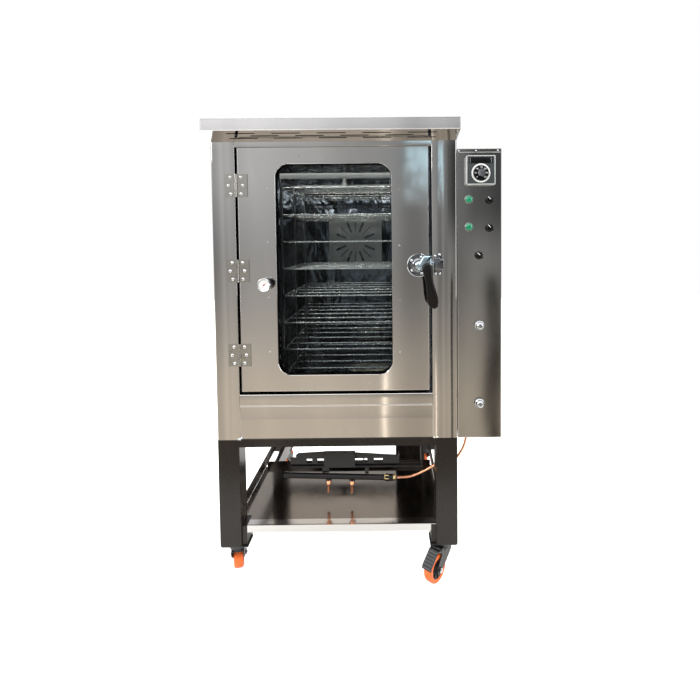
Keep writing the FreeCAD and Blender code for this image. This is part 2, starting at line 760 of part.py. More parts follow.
# ------------------------------------------------------- rear wall, fan
def rear_wall():
    low = cav_bottom + 30
    tall = cav_top - low - 30
    plate = box(-baffle_w / 2, 0, low, baffle_w, skin, tall)
    eye = rod(fan_x, -skin, fan_z, vent_out + 4, skin * 3, "Y")
    rows = []
    for z in (low + 48, low + 95):
        for n in range(6):
            x = fan_x - 24 + 30 * n
            rows.append(box(x, -skin, z - 7, 20, skin * 3, 14))
    finish("fan_baffle", cut(plate, eye, *rows), y=face_y + baffle_y, z=cab_z)

    guard = box(fan_x - guard_side / 2, 0, fan_z - guard_side / 2, guard_side, guard_plate_t,
                guard_side)
    slits = []
    count = 16
    reach = vent_out - vent_in
    for n in range(count):
        wide = slit_wide if n % 2 else slit_thin
        slit = doc.addObject("Part::Box", "slit")
        bind(slit, Length=reach, Width=guard_plate_t * 3, Height=wide)
        angle = 360.0 / count * n
        slit.Placement = Placement(Vector(), Rotation(Vector(0, -1, 0), angle))
        along = Size(math.cos(math.radians(angle)), repr(math.cos(math.radians(angle))))
        across = Size(math.sin(math.radians(angle)), repr(math.sin(math.radians(angle))))
        put(slit, fan_x + vent_in * along + wide / 2 * across, -guard_plate_t,
            fan_z + vent_in * across - wide / 2 * along)
        slits.append(slit)
    finish("fan_guard", cut(guard, *slits), y=face_y + baffle_y - guard_plate_t, z=cab_z)


def fan():
    disc = rod(0, 0, 0, fan_r, fan_disc_t, "Y")
    hub = rod(0, -fan_hub_l, 0, shaft_r + 6, fan_hub_l + fan_disc_t, "Y")
    blades = []
    for n in range(8):
        blade = doc.addObject("Part::Box", "blade")
        bind(blade, Length=fan_r - shaft_r - 14, Width=fan_w - fan_disc_t, Height=fan_disc_t)
        angle = 45.0 * n
        blade.Placement = Placement(Vector(), Rotation(Vector(0, -1, 0), angle))
        reach = shaft_r + 12
        put(blade, reach * math.cos(math.radians(angle)), -fan_w + fan_disc_t,
            reach * math.sin(math.radians(angle)))
        blades.append(blade)
    seat = fan_room - fan_set
    shaft = rod(0, 0, 0, shaft_r, back_room + shaft_in, "Y")
    finish("fan_wheel", join(disc, hub, *blades, shaft), x=mid_x + fan_x,
           y=face_y + baffle_y + seat, z=cab_z + fan_z)

    shell = rod(0, 8, 0, motor_r, motor_l - 30, "Y")
    flange = rod(0, 0, 0, motor_r + 12, 8, "Y")
    cap = cone(0, motor_l - 22, 0, motor_r, motor_r - 14, 22, "Y")
    fins = []
    for n in range(12):
        angle = 30.0 * n
        fin = doc.addObject("Part::Box", "fin")
        bind(fin, Length=8, Width=motor_l - 44, Height=3)
        fin.Placement = Placement(Vector(), Rotation(Vector(0, -1, 0), angle))
        put(fin, (motor_r - 2) * math.cos(math.radians(angle)), 14,
            (motor_r - 2) * math.sin(math.radians(angle)))
        fins.append(fin)
    bore = rod(0, -1, 0, shaft_r + bearing_gap, 46, "Y")
    finish("fan_motor", cut(join(shell, flange, cap, *fins), bore), x=mid_x + fan_x,
           y=face_y + cab_d, z=cab_z + fan_z)


# ----------------------------------------------------------------- rack
def rack():
    """The rack hangs from the gearmotor's spindle and is steadied by a pin in the floor bush."""
    half = rack_w / 2
    half_d = rack_d / 2
    tall = rack_high - rack_low - bar_h * 2
    end_y = half_d - upright_w / 2 - rod_r * 2
    posts = [box(x, y - upright_w / 2, rack_low + bar_h, upright_t, upright_w, tall)
             for x in (-half - upright_t, half)
             for y in (-end_y, as_size(0), end_y)]
    rings = []
    for z in (rack_low, rack_high - bar_h):
        bars = [box(-half - upright_t, y, z, rack_w + upright_t * 2, upright_t, bar_h)
                for y in (-half_d + rod_r * 2, half_d - rod_r * 2 - upright_t)]
        bars += [box(x, -half_d + rod_r * 2, z, upright_t, rack_d - rod_r * 4, bar_h)
                 for x in (-half - upright_t, half)]
        bars.append(box(-half - upright_t, -upright_w, z, rack_w + upright_t * 2, upright_w * 2,
                        upright_t))
        rings.append(join(*bars))
    finish("rack_frame", group(*posts, *rings), y=face_y + rack_y, z=cab_z)

    shaft = rod(0, 0, 0, spindle_r, cav_top + skin + gear_h - rack_high + 6)
    collar = rod(0, 0, 0, spindle_r + 12, 10)
    drop = bar_h - upright_t
    stub = rod(0, 0, -(rack_high - rack_low) - (rack_low - cav_bottom) + 1, pivot_r,
               rack_low - cav_bottom - 1)
    top_spindle = join(shaft, collar)
    low_top = copy(top_spindle, 0, 0, -drop)
    finish("rack_spindle", group(low_top, stub), y=face_y + rack_y, z=cab_z + rack_high)

    side_y = rod_pitch * (rods - 1) / 2
    reach = rack_w - rod_r * 2
    bars = [rod(-reach / 2, side_y * -1 + rod_pitch * n, 0, rod_r, reach, "X") for n in range(rods)]
    ends = [rod(x, -side_y - rod_r, 0, rod_r, side_y * 2 + rod_r * 2, "Y")
            for x in (-half + rod_r, half - rod_r)]
    shelf = join(*bars, *ends)
    stack = [copy(shelf, 0, 0, level_pitch * n) for n in range(levels)]
    finish("wire_shelves", group(*stack), y=face_y + rack_y, z=cab_z + level_first)

    case = box(-gear_w / 2, -gear_l / 2, 0, gear_w, gear_l, gear_h)
    drum = rod(0, gear_l / 2, gear_motor_r + 1, gear_motor_r, gear_motor_l, "Y")
    flange = box(-gear_w / 2, -gear_l / 2 - 3, 0, gear_w, gear_l + 6, 4)
    bore = rod(0, 0, -1, spindle_r + bearing_gap, gear_h + 20)
    finish("rack_gearmotor", cut(join(case, drum, flange), bore), y=face_y + rack_y,
           z=cab_z + cav_top + skin)


# ----------------------------------------------------------------- door
def door():
    hole_l = win_x - win_w / 2
    pan = tray(door_l, 0, door_z, door_w, door_t - skin, door_h, skin, "back")
    window = pane(hole_l, win_z, win_w, win_h, win_r, -skin, skin * 3)
    finish("door_skin", cut(pan, window), z=cab_z)

    plate = box(door_l, 0, door_z, door_w, skin, door_h)
    sight = pane(hole_l, win_z, win_w, win_h, win_r, -skin, skin * 3)
    finish("door_inner", cut(plate, sight), y=face_y + door_t - skin, z=cab_z)

    wide = win_w + glass_lap * 2
    tall = win_h + glass_lap * 2
    deep_y = door_t - skin - glass_t
    panes = [box(hole_l - glass_lap, y, win_z - glass_lap, wide, glass_t, tall)
             for y in (skin, deep_y)]
    finish("door_glass", group(*panes), z=cab_z)

    low = mouth_bottom - seal_lap
    high = cav_top + seal_lap
    thick = return_d - door_t - gap
    outer = box(-ring_l - seal_lap, 0, low, ring_l + ring_r + seal_lap * 2, thick, high - low)
    inner = box(-ring_l - seal_lap + seal_w, -1, low + seal_w,
                ring_l + ring_r + seal_lap * 2 - seal_w * 2, thick + 2, high - low - seal_w * 2)
    finish("door_gasket", cut(outer, inner), y=face_y + door_t, z=cab_z)


def hinges():
    """Three butt hinges: the fixed leaf has three knuckles, the door's leaf two between them."""
    part = hinge_h / 5
    clear = gap / 2
    pin_hole = rod(0, hinge_y, -hinge_h, hinge_pin_r + bearing_gap, hinge_h * 3)
    for name, ranks, side in (("hinge_leaves_fixed", (0, 2, 4), -1), ("hinge_leaves_door", (1, 3), 1)):
        x = -leaf_w if side < 0 else as_size(0)
        leaf = box(x, -leaf_t, 0, leaf_w, leaf_t, hinge_h)
        relief = [box(-knuckle_r - 1, -leaf_t - 8, part * r - clear, knuckle_r * 2 + 2, 20,
                      part + clear * 2)
                  for r in range(5) if r not in ranks]
        swept = box(-knuckle_r * 2 if side > 0 else as_size(0), -leaf_t - 1, -1, knuckle_r * 2,
                    leaf_t + 2, hinge_h + 2)
        blade = cut(cut(leaf, *relief), swept) if side < 0 else cut(leaf, *relief)
        rolls = [rod(0, hinge_y, part * r, knuckle_r, part) for r in ranks]
        solid = cut(join(blade, *rolls), pin_hole) if side > 0 else join(blade, *rolls)
        if side < 0:
            solid = join(solid, rod(0, hinge_y, 0, hinge_pin_r, hinge_h))
        set_of_three = [copy(solid, 0, 0, hinge_pitch * n) for n in range(3)]
        finish(name, group(*set_of_three), x=mid_x + hinge_x, z=cab_z + hinge_low - hinge_h / 2)


def thermometer():
    cup = rod(0, -thermo_out, 0, thermo_r, thermo_t, "Y")
    recess = rod(0, -thermo_out - 1, 0, thermo_face, 5, "Y")
    stem = rod(0, -thermo_out + thermo_t - 2, 0, stem_r, thermo_out - thermo_t + 2, "Y")
    post = rod(0, -thermo_out + 1, 0, 0.8, 6, "Y")
    body = join(cut(join(cup, stem), recess), post)
    finish("thermometer", body, x=mid_x + thermo_x, z=cab_z + thermo_z)

    point = box(-3, 0.6, -0.8, needle_l + 3, 0.8, 1.6)
    boss = rod(0, 0, 0, 2.5, 2, "Y")
    needle = cut(join(point, boss), rod(0, -1, 0, 0.85, 5, "Y"))
    hand = doc.addObject("Part::Compound", "hand")
    hand.Links = [needle]
    hand.Placement = Placement(Vector(), Rotation(Vector(0, -1, 0), 1))
    finish("thermometer_needle", hand, x=mid_x + thermo_x, y=face_y - thermo_out + 1.4,
           z=cab_z + thermo_z)
    hand.setExpression("Placement.Rotation.Angle", f"{needle_turn.text} * 1 deg")


# ---------------------------------------------------------------- latch
def latch():
    rim = cone(0, -rosette_t, 0, rosette_r - 1.5, rosette_r, 1.5, "Y")
    disc = rod(0, -rosette_t + 1.5, 0, rosette_r, rosette_t - 1.5, "Y")
    step = cone(0, -rosette_t - 4, 0, hub_r + 2, hub_r + 8, 4, "Y")
    bore = rod(0, -30, 0, 6 + bearing_gap, 40, "Y")
    finish("latch_rosette", cut(join(disc, rim, step), bore), x=mid_x + latch_x, z=cab_z + latch_z)

    face = rosette_t + 4 + gap
    barrel = rod(0, -hub_out, 0, hub_r, hub_out - face, "Y")
    dome = cone(0, -hub_out - 4, 0, hub_r - 5, hub_r, 4, "Y")
    pin = rod(0, -face, 0, 6, face, "Y")
    tongue = box(0, -face - tongue_t, 0, tongue_l, tongue_t, tongue_h)
    arm = pad([(-2, -6), (hub_r, arm_h), (arm_l - 3, arm_h), (arm_l, arm_h - 5), (arm_l, -8)],
              arm_t, "XZ_Plane")
    put(arm, 0, -hub_out - 10 + arm_t / 2, 0)
    finish("lever_hub", join(barrel, dome, pin, tongue, arm), x=mid_x + latch_x, z=cab_z + latch_z)
    grip()


def grip():
    """The black grip: rounded level sections set along an S-shaped line, flat on its back."""
    back = float(hub_out) + 10.2
    top, low = float(grip_top), -float(grip_low)
    head, waist, belly = float(grip_head), float(grip_waist), float(grip_belly)
    stations = [(0.0, 0.5 * head), (0.05, 0.93 * head), (0.13, head), (0.29, 0.76 * head),
                (0.44, waist), (0.6, 0.5 * (waist + belly)), (0.76, belly), (0.88, 0.94 * belly),
                (0.96, 0.72 * belly), (1.0, 0.48 * belly)]
    sections = []
    for share, wide in stations:
        lean = share * share * (3 - 2 * share)
        tip = max(0.0, share - 0.86) / 0.14
        thick = float(grip_t) * (1 - 0.22 * share) * (1 - 0.35 * tip * tip)
        x = float(grip_x) + float(grip_lean) * lean + 5 * tip * tip
        bow = float(grip_bow) * math.sin(math.pi * min(1.0, share * 1.1))
        sections.append(section(x, -back - thick / 2 - bow, top + (low - top) * share, wide, thick))
    feature = doc.addObject("Part::Feature", "grip")
    feature.Shape = Part.makeLoft(sections, True, False)
    finish("lever_grip", feature, x=mid_x + latch_x, z=cab_z + latch_z)


def section(x, y, z, wide, thick):
    """A level, rounded oblong of four lines and four arcs."""
    radius = thick * 0.42
    half = wide / 2 - radius
    side = thick / 2 - radius
    centres = [(half, -side), (half, side), (-half, side), (-half, -side)]
    starts = [-90, 0, 90, 180]
    edges = []
    ends = []
    for (cx, cy), start in zip(centres, starts):
        def at(degrees):
            angle = math.radians(degrees)
            return Vector(x + cx + radius * math.cos(angle), y + cy + radius * math.sin(angle), z)
        edges.append(Part.Arc(at(start), at(start + 45), at(start + 90)).toShape())
        ends.append((at(start), at(start + 90)))
    outline = []
    for n in range(4):
        outline.append(edges[n])
        outline.append(Part.LineSegment(ends[n][1], ends[(n + 1) % 4][0]).toShape())
    return Part.Wire(outline)


def keeper():
    plate = box(0, -skin, 0, keeper_w - 1, skin, keeper_h)
    catch = box(0, -catch_out, (keeper_h - catch_h) / 2, catch_w, catch_out - skin, catch_h)
    finish("latch_keeper", join(plate, catch), x=mid_x + keeper_x,
           z=cab_z + latch_z - keeper_h / 2 + 2)


# ---------------------------------------------------------- control box
def control_box():
    inner = ctrl_w - skin * 2
    outer = box(0, skin, 0, ctrl_w, ctrl_d - skin, ctrl_h)
    hollow = box(skin, 0, skin, inner, ctrl_d - skin, ctrl_h - skin * 2)
    shank_r = inlet_r - 1.5
    inlet = rod(ctrl_w / 2, ctrl_d - skin * 2, inlet_z, shank_r + gap, skin * 4, "Y")
    tube_hole = rod(tube_in, tube_y, -skin, tube_r + 1, skin * 3)
    spacers = [box(-ctrl_gap, 60, z, ctrl_gap + 1, 30, 30) for z in (120, ctrl_h - 150)]
    finish("control_housing", join(cut(outer, hollow, inlet, tube_hole), *spacers),
           x=mid_x + box_x, z=cab_z)

    plate = box(0, 0, 0, ctrl_w, skin, ctrl_h)
    side = ctl_side - 3.5
    holes = [box(ctl_x - side / 2, -1, ctl_z - side / 2, side, skin * 3, side)]
    stalk = stalk_r + bearing_gap
    for x, z in ((knob_x, knob_top), (knob_x, knob_mid), (knob_low_x, knob_low),
                 (cock_x, cock_top), (cock_x, cock_low)):
        holes.append(rod(x, -1, z, stalk, skin * 3, "Y"))
    for z in (lamp_top, lamp_low):
        holes.append(rod(lamp_x, -1, z, lamp_r - 3.5, skin * 3, "Y"))
    finish("control_fascia", cut(plate, *holes), x=mid_x + box_x, z=cab_z)

    bezel = box(-ctl_side / 2, -ctl_out, -ctl_side / 2, ctl_side, ctl_out, ctl_side)
    case = box(-side / 2 + 0.3, 0, -side / 2 + 0.3, side - 0.6, ctl_in, side - 0.6)
    bore = rod(0, -ctl_out - 1, -dial_drop, stalk, 12, "Y")
    finish("temperature_controller", cut(join(bezel, case), bore), x=mid_x + box_x + ctl_x,
           z=cab_z + ctl_z)

    disc = rod(0, -dial_t - gap, 0, dial_r, dial_t, "Y")
    turn = cone(0, -dial_t - gap - dial_knob_t, 0, dial_knob_r - 1.5, dial_knob_r, dial_knob_t, "Y")
    pin = rod(0, -gap * 2, 0, stalk_r, 10, "Y")
    finish("controller_dial", join(disc, turn, pin), x=mid_x + box_x + ctl_x,
           y=face_y - ctl_out, z=cab_z + ctl_z - dial_drop)

    lamps = []
    for z in (lamp_top, lamp_low):
        rim = rod(0, -4, z, lamp_r, 4, "Y")
        lens = cone(0, -lamp_out, z, lamp_r - 5, lamp_r - 2.5, lamp_out - 4, "Y")
        neck = rod(0, 0, z, lamp_r - 3.6, 30, "Y")
        lamps.append(join(rim, lens, neck))
    finish("pilot_lights", group(*lamps), x=mid_x + box_x + lamp_x, z=cab_z)

    base = rod(0, -gap - 5, 0, knob_r, 5, "Y")
    waist = cone(0, -knob_out, 0, knob_r - 3, knob_r - 2, knob_out - gap - 5, "Y")
    bar = box(-3, -knob_out - 1.5, -knob_r + 1, 6, knob_out - 4, knob_r * 2 - 2)
    stem = rod(0, -gap * 2, 0, stalk_r, 25, "Y")
    selector = join(base, waist, bar, stem)
    for name, x, z in (("selector_knob_top", knob_x, knob_top),
                       ("selector_knob_middle", knob_x, knob_mid),
                       ("selector_knob_low", knob_low_x, knob_low)):
        turned_knob(name, selector, x, z, -45)

    rim = rod(0, -gap - 8, 0, cock_r, 8, "Y")
    dome = cone(0, -cock_out, 0, cock_r - 7, cock_r - 2, cock_out - gap - 8, "Y")
    cock = join(rim, dome, copy(stem))
    turned_knob("gas_knob_upper", cock, cock_x, cock_top, 0)
    turned_knob("gas_knob_lower", cock, cock_x, cock_low, 0)

    behind = inlet_collar + inlet_relief
    shank = rod(0, -10, 0, shank_r, inlet_l + 9, "Y")
    thread = rod(0, behind, 0, inlet_r - 0.05, inlet_l - behind, "Y")
    collar = rod(0, 0, 0, inlet_r + 4, inlet_collar, "Y")
    locknut = rod(0, -skin - 6, 0, inlet_r + 3, 6, "Y")
    bore = rod(0, -11, 0, inlet_r - 3, inlet_l + 20, "Y")
    finish("gas_inlet", cut(join(shank, thread, collar, locknut), bore),
           x=mid_x + box_x + ctrl_w / 2, y=face_y + ctrl_d,
           z=cab_z + inlet_z)


def turned_knob(name, shape, x, z, angle):
    """Place a knob with its pointer turned about the axis that faces the user."""
    knob = group(copy(shape))
    knob.Placement = Placement(Vector(), Rotation(Vector(0, -1, 0), angle))
    finish(name, knob, x=mid_x + box_x + x, z=cab_z + z)


# ------------------------------------------------------ burner, gas line
pipe_z = cab_z - pipe_drop


def burner():
    """A black steel carriage that hangs from two straps at the right, with its plates in front."""
    pan = tray(0, 0, 0, burner_w, burner_d, tray_h, skin)
    gates = [box(x, -1, gate_z, wide, skin + 2, gate_h) for x, wide in gate_spots]
    back = box(-1, burner_d - skin - 1, burner_lip, burner_w + 2, skin + 2, tray_h)
    shell = cut(pan, *gates, back)
    along = block_l - burner_l
    block = box(along, -block_d, 8, block_w, block_d + skin, block_h)
    left = pad([(20, tray_h - 2), (20, tray_h + 10), (30, tray_h + deflector_h - 5),
                (along + 1, tray_h + deflector_h), (along + 1, tray_h - 2)], strap_t, "XZ_Plane")
    start = along + block_w - 1
    right = pad([(start, tray_h - 4), (start, tray_h + 17), (burner_w - 6, tray_h + 6),
                 (burner_w - 6, tray_h - 4)], strap_t, "XZ_Plane")
    for plate in (left, right):
        put(plate, 0, skin - strap_t / 2, 0)
    rods = [rod(0, y, 4, rod_thin, rod_long, "X") for y in (-rod_thin + 1, burner_d - 20)]
    straps = [box(rod_long - strap_t * 2, y, 0, strap_t, strap_w, burner_drop)
              for y in (-rod_thin - 4, burner_d - strap_w)]
    clamps = [box(x, -rod_thin - 1, -drop, wide, strap_t, drop + 2)
              for x, wide, drop in clamp_spots]
    finish("burner", join(shell, block, left, right, *rods, *straps, *clamps),
           x=mid_x + burner_l, y=face_y + burner_y, z=cab_z - burner_drop)


def manifold():
    """The gas pipe with its end cap, brass nut and two orifice elbows."""
    pipe = rod(0, 0, 0, pipe_r, pipe_len, "X")
    cap = rod(-8, 0, 0, pipe_r + 2, 16, "X")
    nut = rod(pipe_len, 0, 0, nut_r, nut_l - 15, "X")
    collar = rod(pipe_len + nut_l - 15, 0, 0, nut_r - 4, 15, "X")
    jets = []
    for x in (jet_left, jet_right):
        at = x - pipe_l
        jets += [rod(at, 0, -pipe_r - jet_l, jet_r, jet_l + 4), rod(at, 0, -pipe_r - 16, jet_r + 5, 18)]
    whole = group(join(pipe, cap, nut, collar, *jets))
    whole.Placement = Placement(Vector(), Rotation(Vector(0, 1, 0), 1))
    finish("gas_manifold", whole, x=mid_x + pipe_l, y=face_y + pipe_y, z=pipe_z)
    whole.setExpression("Placement.Rotation.Angle", f"{pipe_tilt.text} * 1 deg")


def tube_route():
    """Corner points of the copper tube, from the manifold's nut to the control box."""
    reach = pipe_len + nut_l
    start = Vector(float(mid_x + pipe_l + reach * cosine(pipe_tilt)), float(face_y + pipe_y),
                   float(pipe_z - reach * sine(pipe_tilt)))
    end = Vector(float(mid_x + box_x + tube_in), float(face_y + tube_y), float(cab_z) + 12)
    span = end - start
    shares = [(0.0, 0.0, 0.0), (0.19, 0.0, 0.01), (0.32, 0.04, 0.07), (0.44, 0.1, 0.14),
              (0.57, 0.25, 0.25), (0.72, 0.55, 0.31), (0.86, 0.85, 0.4), (0.96, 1.0, 0.6),
              (1.0, 1.0, 0.8), (1.0, 1.0, 1.0)]
    return [start + Vector(span.x * a, span.y * b, span.z * c) for a, b, c in shares]


def gas_tube():
    """A rigid copper tube: straight runs joined by tangent arcs."""
    points = tube_route()
    edges = []
    last = points[0]
    for before, corner, after in zip(points, points[1:], points[2:]):
        into = (corner - before).normalize()
        out = (after - corner).normalize()
        turn = into.getAngle(out)
        shorter = min((corner - before).Length, (after - corner).Length)
        set_back = 0.45 * shorter
        radius = set_back / math.tan(turn / 2)
        first = corner - into * set_back
        second = corner + out * set_back
        middle = corner + (out - into).normalize() * (radius / math.cos(turn / 2) - radius)
        edges.append(Part.LineSegment(last, first).toShape())
        edges.append(Part.Arc(first, middle, second).toShape())
        last = second
    edges.append(Part.LineSegment(last, points[-1]).toShape())
    path = Part.Wire(edges)
    ring = Part.Wire(Part.makeCircle(float(tube_r), points[0], points[1] - points[0]))
    solid = path.makePipeShell([ring], True, False)
    feature = doc.addObject("Part::Feature", "tube")
    feature.Shape = solid
    feature.Label = "gas_tube"
    pieces.append(feature)
    section_area = math.pi * float(tube_r) ** 2
    print("gas tube volume over section times length:", solid.Volume / (section_area * path.Length))


def service_box():
    """The valve and ignition box that hangs at the right behind the shelf."""
    x = half_w - leg_w - low_rail_t - box_w
    shell = box(0, 0, 0, box_w, box_d, box_h)
    finish("service_box", group(shell), x=mid_x + x, y=face_y + box_y, z=cab_z - box_h)


stand()
casters()
front_frame()
casing()
hood()
cavity()
wool()
rear_wall()
fan()
rack()
door()
hinges()
thermometer()
latch()
keeper()
control_box()
burner()
manifold()
gas_tube()
service_box()
doc.recompute()

for obj in doc.Objects:
    if "Invalid" in obj.State or "Error" in obj.State:
        raise RuntimeError(f"{obj.Label} did not compute: {obj.State}")
os.makedirs("parts", exist_ok=True)
for piece in pieces:
    shape = piece.Shape
    if shape.isNull() or not shape.isValid() or not shape.Solids:
        raise RuntimeError(f"{piece.Label} has no valid solid")
for piece in pieces:
    piece.Shape.exportStep(f"parts/{piece.Label}.step")
print(len(pieces), "pieces written")
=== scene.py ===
# %% [markdown]
# # A rotating rack oven, dressed for its portrait
#
# The solids of this oven come from a imported CAD model and stay where they are. This script gives them
# finishes, replaces the small fittings whose real forms are softer than the solids, and adds the screws,
# rivets, dials and weld marks that a maker would see. We begin by loading the frame.

# %% Load the frame
import math

import bmesh
import bpy
import numpy as np
from mathutils import Matrix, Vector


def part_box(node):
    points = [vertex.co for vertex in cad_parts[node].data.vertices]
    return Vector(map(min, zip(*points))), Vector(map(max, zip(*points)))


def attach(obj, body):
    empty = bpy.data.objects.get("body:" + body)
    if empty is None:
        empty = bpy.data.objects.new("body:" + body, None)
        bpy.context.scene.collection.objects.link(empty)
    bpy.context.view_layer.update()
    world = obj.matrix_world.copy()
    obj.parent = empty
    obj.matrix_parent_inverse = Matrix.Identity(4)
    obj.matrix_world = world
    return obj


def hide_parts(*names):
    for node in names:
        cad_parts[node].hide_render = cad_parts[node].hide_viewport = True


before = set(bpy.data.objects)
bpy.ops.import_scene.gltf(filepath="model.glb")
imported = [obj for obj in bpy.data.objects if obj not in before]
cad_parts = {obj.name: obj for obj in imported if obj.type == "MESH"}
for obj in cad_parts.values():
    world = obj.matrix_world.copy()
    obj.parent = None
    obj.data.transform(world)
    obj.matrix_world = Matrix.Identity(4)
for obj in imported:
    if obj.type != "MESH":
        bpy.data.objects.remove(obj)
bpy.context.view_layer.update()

# %% [markdown]
# ## The cabinet's own ruler
#
# Every fitting was measured in millimetres from the middle of the cabinet's front face, at the bottom of
# its sheet. A small function turns those measures into the frame's metres. It reads the cabinet's corners
# from the frame, so a fitting still sits on its panel if the cabinet is moved.

# %% Cabinet millimetres to frame metres
MM = 0.001
left_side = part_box("side_panel_left")
right_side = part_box("side_panel_right")
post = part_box("front_post_left")
CORNER = np.array([(left_side[0][0] + right_side[1][0]) / 2, post[0][1], post[0][2]])


def cab(points):
    """Cabinet millimetres to metres: each point divided by 1000, plus the cabinet's corner."""
    return np.asarray(points, float) * MM + CORNER


print("cabinet corner at", CORNER.round(4))

# %% [markdown]
# ## The camera
#
# The portrait was taken from about eye height, nearly straight on and with a moderately wide lens. The
# frame of the picture was cropped afterwards, so the lens is shifted instead of the camera being turned:
# that keeps the cabinet's uprights parallel. The focal length is given in pixels of the 700 pixel frame.

# %% Camera
FRAME_PX = 700
FOCAL_PX = 440
SENSOR = 36.0
EYE = np.array([0.09624, -1.88065, 1.17465])
YAW, PITCH, ROLL = 0.004, -0.0398, -0.0092
CENTRE_PX = (387.807, 258.516)

ahead = np.array([math.sin(YAW) * math.cos(PITCH), math.cos(YAW) * math.cos(PITCH), math.sin(PITCH)])
level = np.array([math.cos(YAW), -math.sin(YAW), 0.0])
upright = np.cross(level, ahead)
right = math.cos(ROLL) * level + math.sin(ROLL) * upright
up = -math.sin(ROLL) * level + math.cos(ROLL) * upright

lens = bpy.data.cameras.new("portrait")
lens.sensor_width = SENSOR
lens.lens = FOCAL_PX / FRAME_PX * SENSOR
lens.shift_x = (FRAME_PX / 2 - CENTRE_PX[0]) / FRAME_PX
lens.shift_y = (CENTRE_PX[1] - FRAME_PX / 2) / FRAME_PX
lens.clip_end = 60
camera = bpy.data.objects.new("portrait", lens)
turn = np.eye(4)
turn[:3, 0], turn[:3, 1], turn[:3, 2], turn[:3, 3] = right, up, -ahead, EYE
camera.matrix_world = Matrix(turn.tolist())
bpy.context.scene.collection.objects.link(camera)
bpy.context.scene.camera = camera
bpy.context.scene.view_settings.view_transform = "Standard"
print("lens", round(lens.lens, 2), "mm, shift", round(lens.shift_x, 4), round(lens.shift_y, 4))

# %% [markdown]
# ## Shader sums written as sums
#
# A finish is a recipe of noises and blends. Clicking such recipes together is slow to read back, so one
# small class stands for a value inside a material, and arithmetic on it adds the Math nodes. A second
# class adds any other node, with its settings first and its inputs after.

# %% Shader classes
class Value:
    """A number, colour or vector inside a material, on which + - * / make Math nodes."""

    def __init__(self, shader, socket):
        self.shader = shader
        self.socket = socket

    def math(self, operation, first, second):
        return self.shader.node("ShaderNodeMath", {"operation": operation}, {0: first, 1: second})

    def __add__(self, other):
        return self.math("ADD", self, other)

    def __sub__(self, other):
        return self.math("SUBTRACT", self, other)

    def __rsub__(self, other):
        return self.math("SUBTRACT", other, self)

    def __mul__(self, other):
        return self.math("MULTIPLY", self, other)

    def __truediv__(self, other):
        return self.math("DIVIDE", self, other)

    __radd__ = __add__
    __rmul__ = __mul__


class Shader:
    """The nodes of one material or world."""

    def __init__(self, tree):
        tree.nodes.clear()
        self.tree = tree

    def node(self, kind, settings=None, inputs=None, out=0):
        """Add a node: settings, then inputs that are plain values or Values, and give one output."""
        node = self.tree.nodes.new(kind)
        for key, value in (settings or {}).items():
            setattr(node, key, value)
        for key, value in (inputs or {}).items():
            if isinstance(value, Value):
                self.tree.links.new(value.socket, node.inputs[key])
            else:
                node.inputs[key].default_value = value
        return Value(self, node.outputs[out]) if len(node.outputs) else None

    def place(self, stretch=(1, 1, 1), shift=(0, 0, 0), turn=(0, 0, 0)):
        """Object coordinates in metres, moved, turned and stretched."""
        spot = self.node("ShaderNodeTexCoord", out="Object")
        return self.node("ShaderNodeMapping", {}, {"Vector": spot, "Location": shift,
                                                   "Rotation": turn, "Scale": stretch})

    def noise(self, scale, stretch=(1, 1, 1), detail=2.0, turn=(0, 0, 0), shift=(0, 0, 0), warp=0.0):
        where = self.place(stretch, shift, turn)
        return self.node("ShaderNodeTexNoise", {}, {"Vector": where, "Scale": scale,
                                                    "Detail": detail, "Distortion": warp})

    def axis(self, name, centre=0.0):
        """One object coordinate, counted from centre."""
        spot = self.node("ShaderNodeTexCoord", out="Object")
        return self.node("ShaderNodeSeparateXYZ", {}, {0: spot}, out=name) - centre

    def ramp(self, value, low, high, start=0.0, end=1.0):
        """A smooth step from start to end as value goes from low to high."""
        return self.node("ShaderNodeMapRange", {"interpolation_type": "SMOOTHSTEP"},
                         {0: value, 1: low, 2: high, 3: start, 4: end})

    def inside(self, value, low, high, soft):
        """1 where value lies between low and high, with soft edges."""
        return self.ramp(value, low - soft, low + soft) * self.ramp(value, high + soft, high - soft)

    def table(self, value, stops):
        """A curve through (value, height) stops, as a colour ramp whose greys are the heights."""
        places = [place for place, height in stops]
        low, high = places[0], places[-1]
        share = self.node("ShaderNodeMapRange", {}, {0: value, 1: low, 2: high})
        node = self.tree.nodes.new("ShaderNodeValToRGB")
        node.color_ramp.interpolation = "B_SPLINE"
        elements = node.color_ramp.elements
        for place, height in stops[1:-1]:
            elements.new((place - low) / (high - low)).color = (height, height, height, 1)
        for element, (place, height) in zip((elements[0], elements[-1]), (stops[0], stops[-1])):
            element.color = (height, height, height, 1)
        self.tree.links.new(share.socket, node.inputs[0])
        return Value(self, node.outputs[0])

    def blend(self, share, first, second):
        """A colour between two colours, by share."""
        return self.node("ShaderNodeMix", {"data_type": "RGBA"},
                         {0: share, 6: rgba(first), 7: rgba(second)}, out=2)

    def bump(self, height, distance, strength=1.0):
        """A normal from a height: distance in metres for a height of 1."""
        return self.node("ShaderNodeBump", {}, {"Height": height, "Distance": distance,
                                                "Strength": strength})

    def surface(self, **inputs):
        """A Principled surface from inputs named with underscores for spaces."""
        named = {key.replace("_", " "): value for key, value in inputs.items()}
        if not isinstance(named.get("Base Color"), Value):
            named["Base Color"] = rgba(named["Base Color"])
        return self.node("ShaderNodeBsdfPrincipled", {}, named)

    def finish(self, surface):
        self.node("ShaderNodeOutputMaterial", {}, {"Surface": surface})


def rgba(colour):
    """A colour as four numbers; a Value passes through."""
    return colour if isinstance(colour, Value) else (*colour, 1.0)[:4]


def new_material(name):
    material = bpy.data.materials.new(name)
    material.use_nodes = True
    return material, Shader(material.node_tree)


